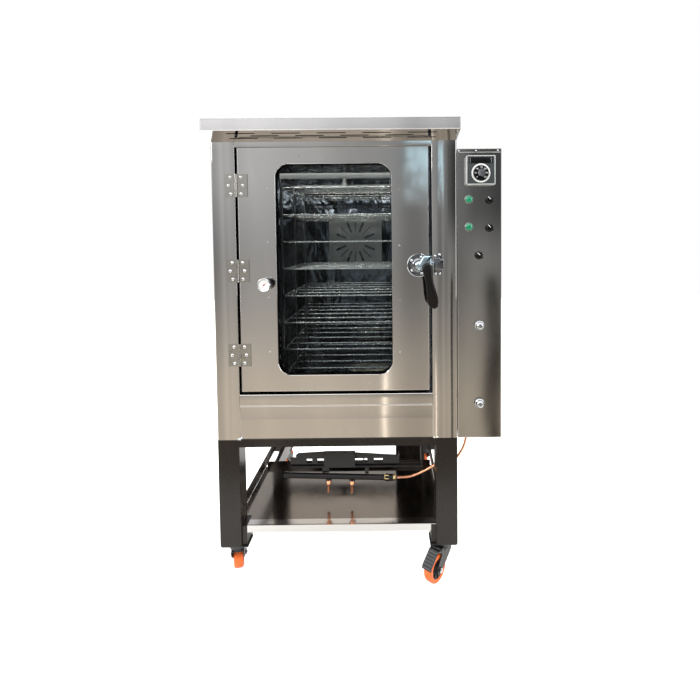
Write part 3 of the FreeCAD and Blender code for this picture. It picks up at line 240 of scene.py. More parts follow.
print("shader classes ready")

# %% [markdown]
# ## Floor, backdrop and light
#
# A catalogue picture of a steel object is made of what the steel sees. The floor and the world are white
# to the camera, while the metal sees a plain soft room: a pale floor, a grey room in front with a few
# taller, lighter bands, and a white wall behind. Two large soft lamps and one overhead give the shade.
# Two small lamps are hidden in the oven: a strip above the window, and a warm one behind the baffle.

# %% Stage and light
def make_floor():
    """A pale sheet under the object, white to the camera except where the object shades it.

    It ends a metre in front, so that the steel sees the darker room beyond and not more white.
    """
    side, front = 7.0, -1.0
    corners = [(-side, front, 0), (side, front, 0), (side, side, 0), (-side, side, 0)]
    mesh = bpy.data.meshes.new("floor")
    mesh.from_pydata(corners, [], [(0, 1, 2, 3)])
    floor = bpy.data.objects.new("floor", mesh)
    bpy.context.scene.collection.objects.link(floor)
    material, shader = new_material("pale floor")
    seen = shader.node("ShaderNodeLightPath", out="Is Camera Ray")
    paper = shader.surface(Base_Color=(0.80, 0.78, 0.75), Roughness=0.9,
                           Emission_Color=(1, 1, 1, 1), Emission_Strength=0.0)
    glow = shader.node("ShaderNodeEmission", {}, {"Color": (1, 1, 1, 1), "Strength": 0.62})
    none = shader.node("ShaderNodeEmission", {}, {"Color": (0, 0, 0, 1), "Strength": 0.0})
    lit = shader.node("ShaderNodeMixShader", {}, {0: seen, 1: none, 2: glow})
    shader.finish(shader.node("ShaderNodeAddShader", {}, {0: paper, 1: lit}))
    mesh.materials.append(material)


def make_room():
    """The world: white to the camera and behind; in front a room with bands that the metal sees.

    across is the sideways slope of a direction in front of the oven and rise its upward slope, so a
    flat front panel shows the room as a map of the two.
    """
    world = bpy.data.worlds.new("room")
    bpy.context.scene.world = world
    world.use_nodes = True
    shader = Shader(world.node_tree)
    way = shader.node("ShaderNodeTexCoord", out="Generated")
    split = {key: shader.node("ShaderNodeSeparateXYZ", {}, {0: way}, out=key) for key in "XYZ"}
    camera_ray = shader.node("ShaderNodeLightPath", out="Is Camera Ray")
    glossy_ray = shader.node("ShaderNodeLightPath", out="Is Glossy Ray")
    clear_ray = shader.node("ShaderNodeLightPath", out="Is Transmission Ray")
    behind = shader.ramp(split["Y"], -0.1, 0.15)
    depth = shader.node("ShaderNodeMath", {"operation": "MAXIMUM"}, {0: 0.0 - split["Y"], 1: 0.12})
    across, rise = split["X"] / depth, split["Z"] / depth
    walls = shader.table(across, [(-0.60, 0.30), (-0.46, 0.42), (-0.385, 0.70), (-0.345, 0.44), (-0.30, 0.62),
                                  (-0.22, 0.52), (-0.14, 0.62), (-0.05, 0.46), (0.02, 0.44), (0.045, 0.26),
                                  (0.09, 0.24), (0.11, 0.46), (0.135, 0.30), (0.17, 0.26), (0.20, 0.42),
                                  (0.26, 0.28), (0.36, 0.28), (0.60, 0.32)])
    low_light = shader.ramp(rise, -0.06, -0.40, 0.0, 0.36) - shader.ramp(rise, -0.7, -1.6, 0.0, 0.35)
    high_light = shader.ramp(rise, 0.215, 0.275, 0.0, 0.42)
    left_light = shader.ramp(across, -0.08, -0.30) * shader.ramp(rise, -0.05, 0.20, 0.0, 0.24)
    ceiling = shader.ramp(rise, 0.55, 0.95, 0.0, 2.2)
    streak = shader.inside(across, -0.0055, 0.0025, 0.002) * shader.ramp(rise, -0.24, -0.33, 0.0, 2.4)
    window = shader.inside(across, 0.045, 0.128, 0.006) * shader.inside(rise, 0.105, 0.215, 0.035)
    streaky = shader.node("ShaderNodeMapping", {}, {"Vector": way, "Scale": (2.0, 1.0, 0.45)})
    wave = shader.node("ShaderNodeTexNoise", {}, {"Vector": streaky, "Scale": 30.0, "Detail": 1.5,
                                                  "Distortion": 1.6})
    pane = window * shader.ramp(wave, 0.44, 0.54, 0.10, 1.5)
    dark_top = shader.ramp(across, 0.165, 0.20) * shader.ramp(rise, -0.06, 0.10, 0.0, 0.22)
    dark_foot = shader.inside(across, 0.228, 0.258, 0.005) * shader.ramp(rise, -0.06, -0.14, 0.0, 0.62)
    strength = walls + low_light + high_light + left_light + ceiling + streak + pane - dark_top - dark_foot
    floor_of_it = shader.node("ShaderNodeMath", {"operation": "MAXIMUM"}, {0: strength, 1: 0.05})
    warm = shader.blend(shader.ramp(rise, -0.40, 0.10), (1.0, 0.90, 0.76), (0.97, 0.985, 1.0))
    tint = shader.node("ShaderNodeMix", {"data_type": "RGBA"},
                       {0: pane, 6: warm, 7: (0.62, 0.88, 1.0, 1.0)}, out=2)
    room = shader.node("ShaderNodeBackground", {}, {"Color": tint, "Strength": floor_of_it})
    white = shader.node("ShaderNodeBackground", {}, {"Color": (1, 1, 1, 1), "Strength": 1.0})
    shown = camera_ray + behind * (glossy_ray + clear_ray)
    both = shader.node("ShaderNodeMixShader", {}, {0: shader.ramp(shown, 0.0, 1.0), 1: room, 2: white})
    shader.node("ShaderNodeOutputWorld", {}, {"Surface": both})


def lamp(name, spot, target, size, power, colour=(1, 1, 1)):
    """A soft rectangular lamp at spot that points at target."""
    light = bpy.data.lights.new(name, "AREA")
    light.shape = "RECTANGLE"
    light.size, light.size_y = size
    light.energy = power
    light.color = colour
    holder = bpy.data.objects.new(name, light)
    away = np.array(spot, float) - np.array(target, float)
    away /= np.linalg.norm(away)
    side = np.cross((0, 0, 1), away)
    side /= np.linalg.norm(side)
    turn = np.eye(4)
    turn[:3, 0], turn[:3, 1], turn[:3, 2], turn[:3, 3] = side, np.cross(away, side), away, spot
    holder.matrix_world = Matrix(turn.tolist())
    bpy.context.scene.collection.objects.link(holder)


make_floor()
make_room()
lamp("key", (-3.5, -2.8, 2.9), (0, 0, 0.9), (1.6, 1.6), 90, (1.0, 0.98, 0.95))
lamp("fill", (2.8, -2.6, 1.6), (0, 0, 0.9), (1.2, 2.2), 34, (0.95, 0.98, 1.0))
lamp("overhead", (0.0, 0.2, 3.6), (0, 0, 0.5), (2.4, 2.0), 34)
lamp("oven front light", (-0.09, -0.332, 1.452), (-0.09, 0.25, 1.10), (0.56, 0.012), 0.6, (1.0, 0.96, 0.90))
lamp("flame light", (0.0, 0.345, 0.72), (0.0, -1.0, 0.72), (0.20, 0.09), 0.10, (1.0, 0.86, 0.60))
print("lamps:", len(bpy.data.lights))

# %% [markdown]
# ## Stainless sheet
#
# The cabinet is folded from stainless sheet with a fine rolled grain. Up close the grain is a noise that
# is very long one way; further off, hand marks and wiping leave soft patches where the sheet is a little
# rougher. Both belong in roughness and a slight bump, and only a little in colour. Towards the bottom the
# colour is painted warmer, a painted reflection of the warm floor. The same recipe with other numbers
# makes the liner, the shelf and the fittings.

# %% Stainless finishes
VISOR_OUT, VISOR_RISE = 0.0825, 0.0176
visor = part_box("roof_hood")
shelf_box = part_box("lower_shelf")


def hood_inside_shade(shader, colour):
    """Painted shade inside the hood: the colour darkens above the visor's sloping sheet and under the lid."""
    out = shader.axis("Y", float(visor[0][1]))
    above = shader.axis("Z", float(visor[0][2]) + VISOR_RISE) + out * (VISOR_RISE / VISOR_OUT)
    lid = shader.axis("Z", float(visor[1][2]))
    dark = (shader.ramp(above, 0.0004, 0.0009) * shader.ramp(out, 0.0004, 0.0008)
            * shader.ramp(lid, -0.0004, -0.0009))
    return shader.blend(dark, colour, (0.012, 0.011, 0.010))


def shelf_front_highlight(shader, colour):
    """The shelf's rolled front: a painted highlight, a band behind the front edge and the edge itself made
    brighter, standing in for the room's reflection.
    """
    back = shader.axis("Y", float(shelf_box[0][1]))
    band = shader.inside(back, 0.006, 0.034, 0.003)
    lip = shader.ramp(back, 0.0018, 0.0008)
    return shader.blend(band * 0.9 + lip * 0.9, colour, (0.50, 0.49, 0.48))


def sheet_steel(name, tone, roughness, grain=(30, 30, 1), patch=0.06, warm=0.20, depth=0.000005,
                brushed=0.75, dent=0.0, shade=None):
    """Grained sheet: fine grain stretched along an axis, soft wiped patches, and slow dents.

    shade, if given, takes the shader and the colour and gives the colour for places that differ.
    """
    material, shader = new_material(name)
    tone = np.array(tone)
    fine = shader.noise(900, tuple(1.0 / np.array(grain)), 2.0)
    cloud = shader.noise(2.3, (1, 1, 0.8), 4.0, shift=(1.3, 0, 0.4), warp=0.5)
    smear = shader.noise(7, (1.0, 1.0, 0.30), 5.0, warp=0.8)
    mark = shader.ramp(smear, 0.40, 0.70) * 0.5 + shader.ramp(cloud, 0.35, 0.7) * 0.5
    # Painted reflection: the colour turns warmer towards the bottom, standing in for the warm floor seen in
    # the steel.
    floor_reflection = shader.ramp(shader.axis("Z"), 1.05, 0.45)
    clean = shader.blend(mark, tone * (1 - patch), tone * (1 + patch))
    brown = shader.blend(floor_reflection * warm, clean, tone * np.array((1.06, 0.90, 0.72)))
    colour = shader.blend(shader.ramp(fine, 0.3, 0.7) * 0.12, brown, tone * 0.75)
    if shade:
        colour = shade(shader, colour)
    slow = shader.bump(shader.noise(3.5, (1.6, 1, 0.8), 0.0), dent)
    surface = shader.surface(Base_Color=colour, Metallic=1.0, Anisotropic=brushed,
                             Anisotropic_Rotation=0.0,
                             Roughness=mark * 0.03 + fine * 0.02 + (roughness - 0.02),
                             Normal=shader.node("ShaderNodeBump", {}, {"Height": fine, "Distance": depth,
                                                                       "Normal": slow}))
    shader.finish(surface)
    return material


casing_steel = sheet_steel("casing steel", (0.54, 0.525, 0.51), 0.06, brushed=0.2, dent=0.0008)
door_steel = sheet_steel("door steel", (0.56, 0.545, 0.53), 0.06, brushed=0.2, dent=0.0006)
box_steel = sheet_steel("control box steel", (0.46, 0.45, 0.435), 0.065, patch=0.10, brushed=0.2, dent=0.0016)
hood_steel = sheet_steel("hood steel", (0.66, 0.64, 0.63), 0.08, warm=0, brushed=0.3, dent=0.0004,
                         shade=hood_inside_shade)
# The fan guard's tone is raised near white: painted light, so that it reads bright behind the glass.
lit_guard_steel = sheet_steel("fan guard steel with painted light", (0.92, 0.90, 0.86), 0.55, patch=0.12)
# The shelf's low tone is painted shade, standing in for the dark underside of the cabinet that the shelf
# reflects.
shaded_shelf_steel = sheet_steel("shelf steel with painted shade", (0.20, 0.185, 0.175), 0.12, patch=0.12, warm=0.3, shade=shelf_front_highlight)


def make_liner():
    """The cavity's walls: thin bright sheet, buckled when hot into crossing folds that catch the light. Its
    colour is kept dark in random patches: painted shade for the dim inside of the cavity.
    """
    material, shader = new_material("liner steel")
    fold = shader.noise(7.5, (1.0, 0.55, 0.42), 3.0, turn=(0.25, 0.35, 0.2), warp=1.5)
    crease = shader.noise(24, (1.0, 0.6, 0.35), 2.0, turn=(0.2, 0.5, 0.1), warp=1.0)
    liner_patches = shader.noise(5, (1, 1, 0.6), 4.0, shift=(0.3, 0.7, 0))
    # Painted shade: both tones are dark, standing in for the shade inside the cavity.
    colour = shader.blend(shader.ramp(liner_patches, 0.35, 0.65), (0.055, 0.066, 0.082), (0.22, 0.24, 0.26))
    wavy = shader.bump(fold * 0.8 + crease * 0.2, 0.018)
    shader.finish(shader.surface(Base_Color=colour, Metallic=1.0, Roughness=liner_patches * 0.14 + 0.06, Normal=wavy))
    return material


liner_steel = make_liner()
print("sheet finishes:", len(bpy.data.materials))

# %% [markdown]
# ## Bright, painted and moulded finishes
#
# Chrome needs few words: almost a mirror, with slight waves. Black stove paint is brownish, with fine
# orange peel and rubbed patches that are a little lighter. Plastics are nearly black with a fine texture.

# %% Other finishes
def bright(name, tone, roughness, wave=0.00003, spread=0.04, rate=60, Metallic=1.0):
    """Bright metal: a slow ripple in the surface and faint tarnish."""
    material, shader = new_material(name)
    tone = np.array(tone)
    ripple = shader.noise(rate, detail=2.0)
    tarnish = shader.ramp(ripple, 0.4, 0.7)
    colour = shader.blend(tarnish, tone, tone * (1 - spread * 3))
    shader.finish(shader.surface(Base_Color=colour, Metallic=Metallic,
                                 Roughness=tarnish * spread + roughness,
                                 Normal=shader.bump(ripple, wave)))
    return material


def coated(name, tone, roughness, rub=(0.06, 0.05, 0.045), rate=380, depth=0.00006, worn=0.5, **more):
    """Paint, plastic or rubber: a fine texture and rubbed patches of another tone."""
    material, shader = new_material(name)
    fine = shader.noise(rate, detail=2.0)
    patch = shader.noise(9, (1, 1, 0.45), 4.0, warp=0.8)
    rubbed = shader.ramp(patch, 0.45, 0.75) * worn
    colour = shader.blend(rubbed, tone, rub)
    shader.finish(shader.surface(Base_Color=colour,
                                 Roughness=rubbed * 0.12 + fine * 0.08 + (roughness - 0.04),
                                 Normal=shader.bump(fine, depth), **more))
    return material


chrome = bright("chrome", (0.66, 0.675, 0.69), 0.10)
# The rack rods' tone is raised near white: a painted highlight, so that they read as bright lines.
rod_steel_lit = bright("rack rod steel with painted highlight", (0.86, 0.85, 0.81), 0.24, wave=0.000004, rate=60, Metallic=0.9)
# A darker copy of chrome for the gas knobs: painted shade, so that they give back less of the white around
# them.
shaded_knob_chrome = bright("knob chrome with painted shade", (0.40, 0.41, 0.42), 0.10, wave=0.0001, rate=90)
# The rack frame's tone is lowered: painted shade, holding down its top ring where the oven's front light
# falls.
frame_steel_shaded = bright("rack frame steel with painted shade", (0.20, 0.20, 0.195), 0.34, wave=0.000004, rate=60)
zinc = bright("zinc plate", (0.40, 0.385, 0.355), 0.26, rate=40, spread=0.05)
copper = bright("copper tube", (0.80, 0.38, 0.22), 0.20, spread=0.06)
brass = bright("brass", (0.74, 0.54, 0.26), 0.22, spread=0.06)
alloy = bright("cast alloy", (0.42, 0.43, 0.44), 0.45, wave=0.0002, rate=400)
stand_black = coated("stand paint", (0.009, 0.0065, 0.005), 0.26, rub=(0.024, 0.017, 0.013),
                     Specular_IOR_Level=0.28)
caster_black = coated("caster paint", (0.010, 0.010, 0.011), 0.30, rub=(0.03, 0.03, 0.03),
                      Specular_IOR_Level=0.4)
burner_black = coated("burner paint", (0.006, 0.005, 0.005), 0.30, rub=(0.035, 0.022, 0.018), worn=0.35,
                      Specular_IOR_Level=0.35)
knob_black = coated("knob plastic", (0.004, 0.004, 0.005), 0.26, rub=(0.007, 0.007, 0.007),
                    Specular_IOR_Level=0.2)
panel_black = coated("instrument plastic", (0.02, 0.021, 0.024), 0.35, rub=(0.03, 0.03, 0.03))
orange = coated("orange tread", (0.72, 0.115, 0.006), 0.38, rub=(0.50, 0.075, 0.008), depth=0.0001)
seal_black = coated("door seal", (0.03, 0.03, 0.03), 0.6)
wool = coated("mineral wool", (0.60, 0.54, 0.40), 0.95, rub=(0.45, 0.40, 0.28), rate=150, depth=0.002)
white_face = coated("dial white", (0.84, 0.85, 0.84), 0.45, rub=(0.78, 0.79, 0.77), depth=0.00001)
ink = coated("dial ink", (0.02, 0.02, 0.022), 0.6)
red_ink = coated("red ink", (0.42, 0.03, 0.03), 0.5, rub=(0.3, 0.03, 0.03))
# Chrome painted darker: painted shade, standing in for the dark surroundings that the rosette's face, the
# keeper and the dial's cross reflect.
shaded_chrome = bright("chrome with painted shade", (0.20, 0.205, 0.22), 0.16, rate=50)
# Chrome tinted blue: a painted reflection of bluish light on the handle's hub.
blue_reflection_chrome = bright("chrome with painted blue reflection", (0.50, 0.62, 0.70), 0.12, rate=50)
grip_black = coated("grip plastic", (0.003, 0.003, 0.003), 0.26, rub=(0.006, 0.0045, 0.004), rate=900,
                    worn=0.6, Specular_IOR_Level=0.2)
pale_plastic = coated("pale plastic", (0.46, 0.48, 0.48), 0.40, rub=(0.38, 0.40, 0.40), depth=0.00001)
instrument_face = coated("instrument face", (0.045, 0.050, 0.053), 0.22, rub=(0.07, 0.075, 0.08),
                         depth=0.00001)
green_lens = coated("green lens", (0.0, 0.20, 0.09), 0.12, rub=(0.01, 0.30, 0.15), rate=700, depth=0.0002,
                    Coat_Weight=0.6)
pedal_grey = coated("pedal rubber", (0.05, 0.052, 0.055), 0.42, rub=(0.09, 0.09, 0.09))
print("finishes:", len(bpy.data.materials))

# %% [markdown]
# ## The window glass
#
# Two panes stand in the door. Glass made with a transmission shader darkens what is behind it and is
# slow, and these flat panes bend nothing, so each pane is a clear film with a thin sharp reflection
# and the soft haze that wiping leaves. The film's slight tint counts four times, twice for each pane.

# %% Glass
def make_glass():
    material, shader = new_material("window glass")
    clear = shader.node("ShaderNodeBsdfTransparent", {}, {"Color": (0.955, 0.972, 0.98, 1)})
    gloss = shader.surface(Base_Color=(0.02, 0.02, 0.02), Roughness=0.03)
    film = shader.surface(Base_Color=(0.42, 0.45, 0.47), Roughness=0.5)
    wipe = shader.noise(16, (1.0, 1.0, 0.18), 5.0, turn=(0, 0.5, 0), warp=1.2)
    haze = shader.ramp(wipe, 0.50, 0.80, 0.001, 0.022)
    edge = shader.node("ShaderNodeFresnel", {}, {"IOR": 1.35})
    pane = shader.node("ShaderNodeMixShader", {}, {0: edge, 1: clear, 2: gloss})
    shader.finish(shader.node("ShaderNodeMixShader", {}, {0: haze, 1: pane, 2: film}))
    return material


glass = make_glass()
print("glass:", glass.name)

# %% [markdown]
# ## Finishes for the solids
#
# Each solid whose shape is right already keeps it and gets its finish here.

# %% Dress the solids
FINISHES = {
    casing_steel: ["side_panel_left", "side_panel_right", "back_panel", "floor_pan", "front_post_left",
                   "front_post_right", "header_strip", "kick_panel"],
    hood_steel: ["roof_hood"],
    door_steel: ["door_skin"],
    box_steel: ["control_housing", "control_fascia"],
    liner_steel: ["cavity_liner", "fan_baffle", "door_inner"],
    lit_guard_steel: ["fan_guard"],
    shaded_shelf_steel: ["lower_shelf"],
    rod_steel_lit: ["wire_shelves"],
    frame_steel_shaded: ["rack_frame", "rack_spindle"],
    alloy: ["fan_wheel", "fan_motor", "rack_gearmotor"],
    wool: ["insulation"],
    glass: ["door_glass"],
    seal_black: ["door_gasket"],
    zinc: ["hinge_leaves_fixed", "hinge_leaves_door", "gas_inlet"],
    chrome: ["latch_rosette", "lever_hub", "latch_keeper", "gas_knob_upper", "gas_knob_lower",
             "thermometer"],
    knob_black: ["lever_grip", "selector_knob_top", "selector_knob_middle", "selector_knob_low"],
    panel_black: ["temperature_controller", "controller_dial", "thermometer_needle", "pilot_lights"],
    stand_black: ["stand_legs", "stand_rails", "service_box"],
    caster_black: ["caster_plates", "caster_fork_fl", "caster_fork_fr", "caster_fork_rl",
                   "caster_fork_rr", "brake_pedal_fl", "brake_pedal_fr"],
    orange: ["caster_wheel_fl", "caster_wheel_fr", "caster_wheel_rl", "caster_wheel_rr"],
    burner_black: ["burner", "gas_manifold"],
    copper: ["gas_tube"],
}


def dress(node, material):
    """Give every material slot of a node's object one finish."""
    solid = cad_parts[node]
    solid.data.materials.clear()
    solid.data.materials.append(material)


for material, nodes in FINISHES.items():
    for node in nodes:
        dress(node, material)
dressed = sum(len(nodes) for nodes in FINISHES.values())
print("dressed", dressed, "of", len(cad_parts))

# %% [markdown]
# ## Shapes worked out as arrays
#
# The fittings are surfaces over two parameters. A grid of points with a face between every four
# neighbours is enough for a turned knob, a moulded grip, a bent sheet and a rounded block, so one
# function makes the faces, and each shape is only a formula for the points.

# %% Shape helpers
def skin_of(points, around=False, along=False):
    """Points (rows, columns, 3) and the quads between neighbours; around closes rows, along columns."""
    rows, columns = points.shape[:2]
    row = np.arange(rows if along else rows - 1)[:, None]
    column = np.arange(columns if around else columns - 1)[None, :]
    after_row, after_column = (row + 1) % rows, (column + 1) % columns
    quads = np.stack([row * columns + column, row * columns + after_column,
                      after_row * columns + after_column, after_row * columns + column], -1)
    return points.reshape(-1, 3), quads.reshape(-1, 4)


def gather(*shapes):
    """Several (points, quads) shapes as one."""
    points, quads, count = [], [], 0
    for spots, faces in shapes:
        points.append(spots)
        quads.append(faces + count)
        count += len(spots)
    return np.concatenate(points), np.concatenate(quads)


def moved(shape, offset):
    return shape[0] + np.asarray(offset, float), shape[1]


def turned(shape, degrees, axis="z"):
    """A shape turned about a cabinet axis through the origin, by the right-hand rule."""
    angle = math.radians(degrees)
    c, s = math.cos(angle), math.sin(angle)
    turns = {"x": [(1, 0, 0), (0, c, -s), (0, s, c)], "y": [(c, 0, s), (0, 1, 0), (-s, 0, c)],
             "z": [(c, -s, 0), (s, c, 0), (0, 0, 1)]}
    return shape[0] @ np.array(turns[axis]).T, shape[1]


def lathe(profile, at=(0, 0, 0), axis="y", steps=40, flutes=0, depth=0.0, loop=False):
    """A turned form: (radius r, place h) pairs carried round an axis, r(t) = r (1 + depth cos(flutes t))."""
    radius, place = np.array(profile, float).T
    t = np.linspace(0, 2 * np.pi, steps, endpoint=False)
    wavy = 1 + depth * np.cos(flutes * t)
    across = radius[:, None] * wavy * np.cos(t)
    rise = radius[:, None] * wavy * np.sin(t)
    level = np.broadcast_to(place[:, None], across.shape)
    order = {"x": (level, across, rise), "y": (across, level, rise), "z": (across, rise, level)}[axis]
    return moved(skin_of(np.stack(order, -1), around=True, along=loop), at)


def block(low, high, radius=1.0, steps=3):
    """A rounded box: a sphere of that radius whose eight octants are pushed out to the corners."""
    low, high = np.array(low, float), np.array(high, float)
    middle, half = (low + high) / 2, (high - low) / 2 - radius
    quarter = np.linspace(0, np.pi / 2, steps + 1)
    round_u = np.concatenate([quarter + k * np.pi / 2 for k in range(4)])
    sign_x = np.repeat([1, -1, -1, 1], steps + 1)
    sign_y = np.repeat([1, 1, -1, -1], steps + 1)
    round_v = np.concatenate([quarter - np.pi / 2, quarter])[:, None]
    sign_z = np.repeat([-1, 1], steps + 1)[:, None]
    x = half[0] * sign_x + radius * np.cos(round_v) * np.cos(round_u)
    y = half[1] * sign_y + radius * np.cos(round_v) * np.sin(round_u)
    z = np.broadcast_to(half[2] * sign_z + radius * np.sin(round_v), x.shape)
    shell = np.stack([x, y, z], -1)
    caps = [np.broadcast_to([0, 0, side * (half[2] + radius)], shell[:1].shape) for side in (-1, 1)]
    return moved(skin_of(np.concatenate([caps[0], shell, caps[1]]), around=True), middle)


def tube(path, radius, sides=10, closed=False):
    """A round rod along a path: circles square to the path's direction, drawn in at the ends."""
    path = np.array(path, float)
    if closed:
        ahead = np.roll(path, -1, 0) - np.roll(path, 1, 0)
    else:
        ahead = np.gradient(path, axis=0)
    ahead /= np.linalg.norm(ahead, axis=1)[:, None]
    helper = np.array([0.13, 0.27, 0.95]) if abs(ahead[0, 2]) < 0.8 else np.array([0.95, 0.27, 0.13])
    side = np.cross(ahead, helper)
    side /= np.linalg.norm(side, axis=1)[:, None]
    other = np.cross(side, ahead)
    t = np.linspace(0, 2 * np.pi, sides, endpoint=False)
    radii = np.broadcast_to(np.asarray(radius, float), (len(path),))[:, None, None]
    rings = path[:, None] + radii * (np.cos(t)[:, None] * side[:, None] + np.sin(t)[:, None] * other[:, None])
    if not closed:
        ends = [np.broadcast_to(path[k], rings[:1].shape) for k in (0, -1)]
        rings = np.concatenate([ends[0], rings, ends[1]])
    return skin_of(rings, around=True, along=closed)


def rounded(corners, radius, steps=4):
    """A 2D line whose inner corners are replaced by points of a quadratic bend of about that radius."""
    corners = np.array(corners, float)
    line = [corners[:1]]
    s = np.linspace(0, 1, steps + 1)[:, None]
    for before, corner, after in zip(corners, corners[1:], corners[2:]):
        start = corner + (before - corner) / np.linalg.norm(before - corner) * radius
        end = corner + (after - corner) / np.linalg.norm(after - corner) * radius
        line.append((1 - s) ** 2 * start + 2 * s * (1 - s) * corner + s ** 2 * end)
    return np.concatenate([*line, corners[-1:]])


def bent_sheet(corners, thick, radius, axis, start, stop):
    """A folded sheet: a rounded 2D line and its copy one thickness aside, carried along x or z."""
    outer = rounded(corners, radius)
    ahead = np.gradient(outer, axis=0)
    ahead /= np.linalg.norm(ahead, axis=1)[:, None]
    inner = outer + thick * np.stack([-ahead[:, 1], ahead[:, 0]], -1)
    loop = np.concatenate([outer, inner[::-1]])
    spread = []
    for place in (start, stop):
        fixed = np.full(len(loop), float(place))
        parts = (fixed, loop[:, 0], loop[:, 1]) if axis == "x" else (loop[:, 0], loop[:, 1], fixed)
        spread.append(np.stack(parts, -1))
    walls = skin_of(np.stack(spread), around=True)
    half = len(outer)
    caps = [skin_of(np.stack([edge[:half], edge[half:][::-1]])) for edge in spread]
    return gather(walls, *caps)


def slab(outline, front, back, round_off=1.5, steps=3):
    """A thick plate of a 2D outline in x and z, with its front edge rounded off."""
    outline = np.array(outline, float)
    centre = outline.mean(0)
    edge = np.roll(outline, -1, 0) - np.roll(outline, 1, 0)
    out = np.stack([edge[:, 1], -edge[:, 0]], -1)
    out /= np.linalg.norm(out, axis=1)[:, None]
    out *= np.sign(((outline - centre) * out).sum(1).mean())
    bend = np.linspace(0, np.pi / 2, steps + 1)
    inset = [*(round_off * (1 - np.sin(bend))), 0.0]
    depth = [*(front + round_off * (1 - np.cos(bend))), back]
    rows = [np.insert(outline - out * step, 1, place, axis=1) for step, place in zip(inset, depth)]
    caps = [np.broadcast_to([centre[0], place, centre[1]], rows[0].shape) for place in (front, back)]
    return skin_of(np.stack([caps[0], *rows, caps[1]]), around=True)


def piece(name, shape, material, body, slot, *nodes, sharp=38):
    """Make a mesh from a cabinet-millimetre shape, weld it, turn its faces outwards and set it riding."""
    mesh = bpy.data.meshes.new(name)
    mesh.from_pydata(cab(shape[0]).tolist(), [], shape[1].tolist())
    work = bmesh.new()
    work.from_mesh(mesh)
    bmesh.ops.remove_doubles(work, verts=work.verts, dist=2e-6)
    bmesh.ops.recalc_face_normals(work, faces=work.faces)
    work.to_mesh(mesh)
    work.free()
    mesh.materials.append(material)
    mesh.shade_smooth()
    mesh.set_sharp_from_angle(angle=math.radians(sharp))
    thing = bpy.data.objects.new(name, mesh)
    bpy.context.scene.collection.objects.link(thing)
    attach(thing, body)
    if nodes:
        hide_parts(*nodes)
    print(name, "rides on", body, "with", len(mesh.polygons), "faces")
    return thing


print("shape helpers ready")

# %% [markdown]
# ## Folded sheets of the front
#
# A press leaves a small radius at every fold, and that radius is what draws the bright line along an
# edge of real sheet metal. The posts, the header and the kick panel are made again with their folds
# rounded. Below the door the kick panel is creased once, so it leans out and then in again.

# %% Front frame sheets
SHEET = 1.5
HALF = 410
RETURN = 56
OPEN_LEFT, OPEN_RIGHT = -332, 326
KICK_TOP, KICK_STRIP, CREASE = 156, 116, 68

left_post = bent_sheet([(-HALF + SHEET, 30), (-HALF + SHEET, 0), (OPEN_LEFT, 0), (OPEN_LEFT, RETURN)],
                       SHEET, 2.4, "z", 0, 1010)
right_post = bent_sheet([(OPEN_RIGHT, RETURN), (OPEN_RIGHT, 0), (HALF - SHEET, 0), (HALF - SHEET, 30)],
                        SHEET, 2.4, "z", 0, 1010)
header = bent_sheet([(RETURN, 992), (0, 992), (0, 1010)], -SHEET, 2.2, "x", OPEN_LEFT, OPEN_RIGHT)
kick = bent_sheet([(RETURN, KICK_TOP), (0, KICK_TOP), (0, KICK_STRIP), (4.2, KICK_STRIP - 1),
                   (1.2, CREASE), (4.2, 0)], SHEET, 3.4, "x", OPEN_LEFT, OPEN_RIGHT)
piece("post_left_sheet", left_post, casing_steel, "oven", "outer_steel", "front_post_left")
piece("post_right_sheet", right_post, casing_steel, "oven", "outer_steel", "front_post_right")
piece("header_sheet", header, casing_steel, "oven", "outer_steel", "header_strip")
piece("kick_sheet", kick, casing_steel, "oven", "outer_steel", "kick_panel")

# %% [markdown]
# ## Rolled edges
#
# The door, the hood and the control box keep their solids, whose corners are sharp. A slim rolled edge
# laid along each fold gives them the same bright line, and it is sunk by half so it only shows as a fold.

# %% Rolled edges
DOOR_LEFT, DOOR_RIGHT, DOOR_LOW, DOOR_TOP = -323, 315, 167, 990.8
ROLL = 1.5


def oblong(left, right, low, high, radius, steps=10):
    """Points round a rounded rectangle in x and z: four quarter circles."""
    t = np.linspace(0, np.pi / 2, steps + 1)
    centres = [(right - radius, high - radius), (left + radius, high - radius),
               (left + radius, low + radius), (right - radius, low + radius)]
    arcs = [np.stack([cx + radius * np.cos(t + k * np.pi / 2), cz + radius * np.sin(t + k * np.pi / 2)], -1)
            for k, (cx, cz) in enumerate(centres)]
    return np.concatenate(arcs)


def edge_roll(outline, depth, radius=ROLL):
    """A closed roll along an outline in x and z, at one depth."""
    return tube(np.insert(outline, 1, depth, axis=1), radius, sides=8, closed=True)


window = oblong(-199, 192, 221, 937, 48)
door_edge = oblong(DOOR_LEFT + 1.2, DOOR_RIGHT - 1.2, DOOR_LOW + 1.2, DOOR_TOP - 1.2, 2.5, 3)
piece("door_rolled_edges", gather(edge_roll(door_edge, 1.3), edge_roll(window, 0.9, 1.2)),
      door_steel, "door", "outer_steel")

HOOD_OUT, HOOD_LOW, HOOD_TOP = -82.5, 1027.6, 1064.6
hood_rolls = [tube([(-HALF + 1, y, z), (HALF - 1, y, z)], ROLL, 8)
              for y, z in ((HOOD_OUT + 1.2, HOOD_LOW + 0.8), (HOOD_OUT + 1.3, HOOD_TOP - 1.3))]
hood_rolls += [tube([(x, HOOD_OUT + 1.3, HOOD_LOW + 0.8), (x, HOOD_OUT + 1.3, HOOD_TOP - 1.3)], ROLL, 8)
               for x in (-HALF + 1.2, HALF - 1.2)]
piece("hood_rolled_edges", gather(*hood_rolls), hood_steel, "oven", "outer_steel")

